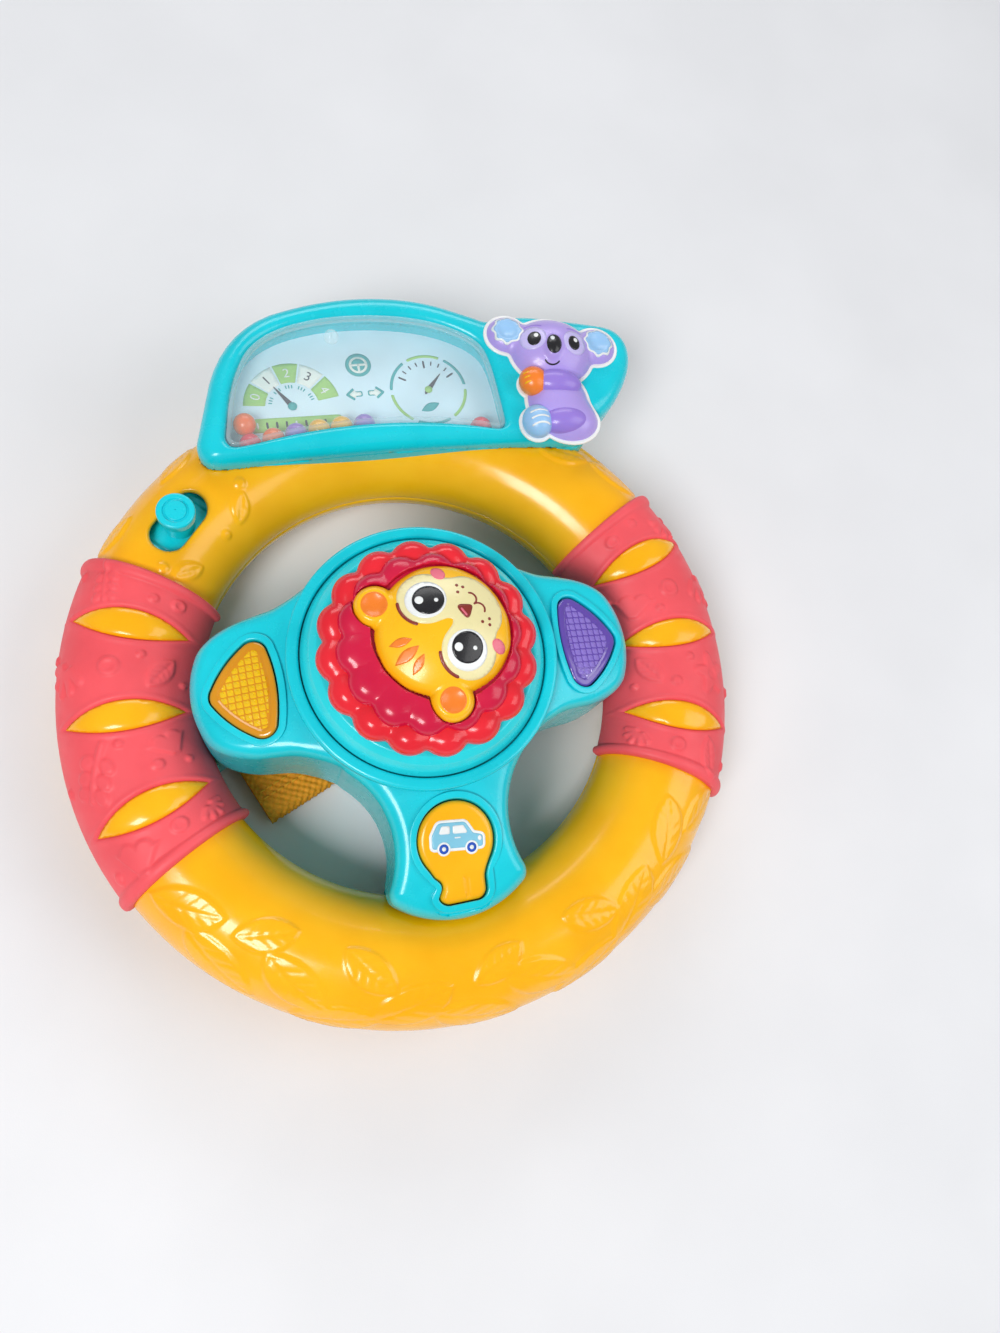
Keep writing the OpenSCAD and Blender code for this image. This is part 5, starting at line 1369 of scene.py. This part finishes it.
def strap():
    r = (STRAP_H - STRAP_T) / 2
    straight, bend = STRAP_L - STRAP_H, math.pi * r
    total = 2 * (straight + bend)
    nu, nv = 400, 101
    s = np.linspace(0, total, nu, endpoint=False)[:, None]
    facing = math.pi / 2 - (np.clip(s - straight, 0, bend) + np.clip(s - 2 * straight - bend, 0, bend)) / r
    along = np.clip(s, 0, straight) - np.clip(s - straight - bend, 0, straight)
    y = np.linspace(-STRAP_W / 2, STRAP_W / 2, nv)[None]
    rows, cols = int(total / 2.5), 10
    weave = np.cos(2 * math.pi * rows * s / total) * np.cos(2 * math.pi * cols * (y / STRAP_W + 0.5))
    edge = STRAP_W / 2 - np.abs(y)
    seam = np.exp(-((edge - 2.6) / 0.45) ** 2)
    rib = 0.32 * weave * (1 - 0.8 * seam) - 0.28 * seam + 0.15 * np.exp(-(edge / 0.8) ** 2)
    skin = STRAP_T / 2 - 0.3
    out = r + np.hstack([skin + rib, (0.5 * rib - skin)[:, ::-1]])
    x = STRAP_H / 2 + along + np.cos(facing) * out
    z = STRAP_Z + STRAP_H / 2 + np.sin(facing) * out
    xy = from_strap(np.stack([x, np.hstack([y, y[:, ::-1]]) + 0 * out], -1))
    p = np.concatenate([xy, z[..., None]], -1).reshape(-1, 3)
    ob = piece("strap_webbing", p, weave_grid(nu, 2 * nv, True, True), WEBBING, node="strap",
               slot="webbing", sharp=0)
    t = np.linspace(0, 1, 9)
    parts = []
    for u in (8.0, 10.4):
        for k in range(8):
            v = -STRAP_W / 2 + 3.4 + 2.6 * k
            height = STRAP_Z + STRAP_H - 0.1 + 0.32 * np.sin(math.pi * t)
            parts.append(tube(np.column_stack([np.full(9, u), v + 1.8 * t, height]), 0.26))
    p, faces = merge(parts)
    p[:, :2] = from_strap(p[:, :2])
    thread = piece("strap_stitches", p, faces, THREAD, slot="webbing", sharp=0)


strap()

# Back of the hub: casing, battery door, grille, switch
DOOR_AT, DOOR_SCREW, DOOR_POCKET_Z = (0, 14.6), (31.0, 14.6), 1.85
GRILLE_AT, SWITCH_AT = (0.0, -19.5), (20.0, -9.0)
CASING_SCREWS = [(s * 57.47, 12.43 * t) for s in (-1, 1) for t in (-1, 1)]
CASING_SCREWS += [(s * 13.4, -61.97) for s in (-1, 1)]


def door_outline(xy):
    tab = np.hypot(xy[:, 0] - np.clip(xy[:, 0], 20, DOOR_SCREW[0]), xy[:, 1] - DOOR_SCREW[1]) - 3.6
    return join(block(xy, DOOR_AT, (25.7, 12.3), 1.6), tab, 0.8)


def rear_field(p):
    xy, z = p[:, :2], p[:, 2]
    outline = casing_outline(xy)
    d = cut(outline + 4.0, 8.2 - z, 2.6)
    barrel = join(disc(xy, (0, 0), 32.5), block(xy, DOOR_AT, (27.3, 13.9), 2.0), 2.0)
    barrel = join(barrel, disc(xy, DOOR_SCREW, 5.2), 1.0)
    d = join(d, cut(barrel, -z, 1.6), 3.0)
    q = turn(xy - np.array(STRAP_AT), STRAP_TURN)
    lug = block(np.column_stack([q[:, 0], np.abs(q[:, 1])]), (26, 15.8), (2.5, 2.5), 0.8)
    d = join(d, cut(lug, 1.6 - z, 0.8), 0.8)
    d = join(d, cut(outline + 0.3, 18.3 - z, 0.5), 1.0)
    d = np.maximum(d, z - RIM_Z + 0.05)
    d = np.maximum(d, -rim_tube(p, np.where(xy[:, 1] < -40, TUBE_R + 0.25, GRIP_R + 0.25)))
    for at in CASING_SCREWS:
        d = cut(d, -np.maximum(disc(xy, at, 2.8), z - 12.7), 0.25)
    d = cut(d, -np.maximum(door_outline(xy) - 0.25, z - DOOR_POCKET_Z), 0.2)
    d = cut(d, -np.maximum(disc(xy, GRILLE_AT, 8.8), z - 2.4), 0.2)
    return cut(d, -np.maximum(block(xy, SWITCH_AT, (4.2, 2.2)), z - 3.0), 0.2)


def rear_keep(c, n):
    """The faces of the rear skin that stay: not its top, or its floors over grille and switch."""
    z, up = c[:, 2], n[:, 2]
    top = (up > 0.9) & (z > RIM_Z - 0.4)
    pocket = (disc(c, GRILLE_AT, 8.4) < 0) | (block(c[:, :2], SWITCH_AT, (3.8, 1.8)) < 0)
    return ~(top | ((up < -0.9) & (z > 2.2) & (z < 3.3) & pocket))


def door_field(p):
    xy, z = p[:, :2], p[:, 2]
    outline = door_outline(xy)
    d = cut(outline, np.maximum(-z, z - 1.7), 0.4)
    d = cut(d, -np.maximum(np.abs(outline + 2.2) - 0.45, z - 0.4), 0.15)
    for k in range(4):
        d = cut(d, -np.maximum(block(xy, (-19.5 + 2.6 * k, DOOR_AT[1]), (0.6, 5.4)), z - 0.5), 0.15)
    return cut(d, -np.maximum(disc(xy, DOOR_SCREW, 2.8), z - 1.0), 0.2)


def grille_field(p):
    xy = p[:, :2] - np.array(GRILLE_AT)
    d = cut(disc(xy, (0, 0), 8.75), np.abs(p[:, 2] - 0.85) - 0.75, 0.3)
    for r, a in [(0, 0)] + [(3.2, 60 * k) for k in range(6)] + [(6.4, 30 * k) for k in range(12)]:
        d = cut(d, -disc(xy, polar((0, 0), r, a), 1.0), 0.2)
    return d


def switch_field(p):
    xy, z = p[:, :2], p[:, 2]
    ridge = 0.25 * np.cos((xy[:, 0] - SWITCH_AT[0]) * 2 * math.pi / 1.2)
    d = cut(block(xy, SWITCH_AT, (1.8, 1.8)), 0.8 - ridge - z, 0.3)
    d = np.maximum(d, z - 2.6)
    plate = cut(block(xy, SWITCH_AT, (4.9, 2.8)), np.abs(z - 3.0) - 0.5, 0.2)
    return join(d, plate, 0.2)


open_shell(*net(rear_field, (-68, -77, -0.6), (68, 42, 21.4), HUB_STEP), rear_keep, 1.5, "hub_back",
           node="hub_rear_casing", **TEAL_PART)
solid("door", door_field, (-27, 1, -0.4), (36, 28, 2.2), 0.4, node="battery_door", **TEAL_PART)
solid("grille", grille_field, (-9.5, -29, -0.2), (9.5, -10, 2), 0.28, **TEAL_PART)
solid("switch_nub", switch_field, (14, -12.6, 0.2), (26, -5.4, 4), 0.25, GREY, body="power_switch",
      node="power_switch_knob", slot="white_plastic")


def screws(name, spots, head_r, head_z, head_h, shank_r, tip_z):
    """Pan head screws that go up from below, with a cross in each head and a thread on the shank."""
    wide, narrow = 0.66 * head_r, 0.3 * head_r

    def head(p):
        xy, z = p[:, :2], p[:, 2]
        slab = np.maximum(head_z - z, z - head_z - head_h)
        d = cut(disc(xy, (0, 0), head_r), slab, min(0.45, head_h * 0.4))
        cross = np.minimum(block(xy, (0, 0), (narrow, wide), 0.15), block(xy, (0, 0), (wide, narrow), 0.15))
        return cut(d, -np.maximum(cross, z - head_z - 0.5 * head_h), 0.1)

    reach = head_r + 0.4
    p, faces, _ = net(head, (-reach, -reach, head_z - 0.3), (reach, reach, head_z + head_h + 0.3), 0.2)
    z = np.linspace(head_z + head_h - 0.1, tip_z, 60)
    r = shank_r - 0.16 + 0.16 * np.cos(2 * math.pi * z / 1.2)
    shank = lathe([(0.05, z[0]), *zip(r, z), (0.05, z[-1])], 20)
    parts = []
    for k, (x, y) in enumerate(spots):
        for q, f in ((p, faces), shank):
            q = np.column_stack([turn(q[:, :2], 0.7 + 1.3 * k), q[:, 2]])
            parts.append((q + [x, y, 0], f))
    piece(f"{name}_dressed", *merge(parts), STEEL, node=name, slot="steel")


screws("rim_screws", RIM_SPOTS, 2.5, 3.7, 1.8, 1.2, 27.4)
screws("casing_screws", CASING_SCREWS, 2.5, 10.9, 1.8, 1.2, 28.4)
screws("door_screw", [DOOR_SCREW], 2.5, 0.2, 0.8, 1.2, 9.1)
screws("dash_screws", DASH_SCREWS, 2.0, 33.4, 1.2, 1.0, 43.9)

# Finish for the CAD nodes that stay
for finish, names in ((GREY, "slider_track spinner_cam signal_lamps"), (BOARD, "circuit_board"),
                      (BLACK, "board_chips cam_switch speaker power_switch_body"),
                      (SILICONE, "left_signal_rubber right_signal_rubber key_rubber"), (CELL, "cells"),
                      (WIRE, "speaker_leads"),
                      (STEEL, "battery_contacts board_screws spinner_screw motion_sensor strap_bar")):
    for name in names.split():
        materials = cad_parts[name].data.materials
        materials.clear()
        materials.append(finish)
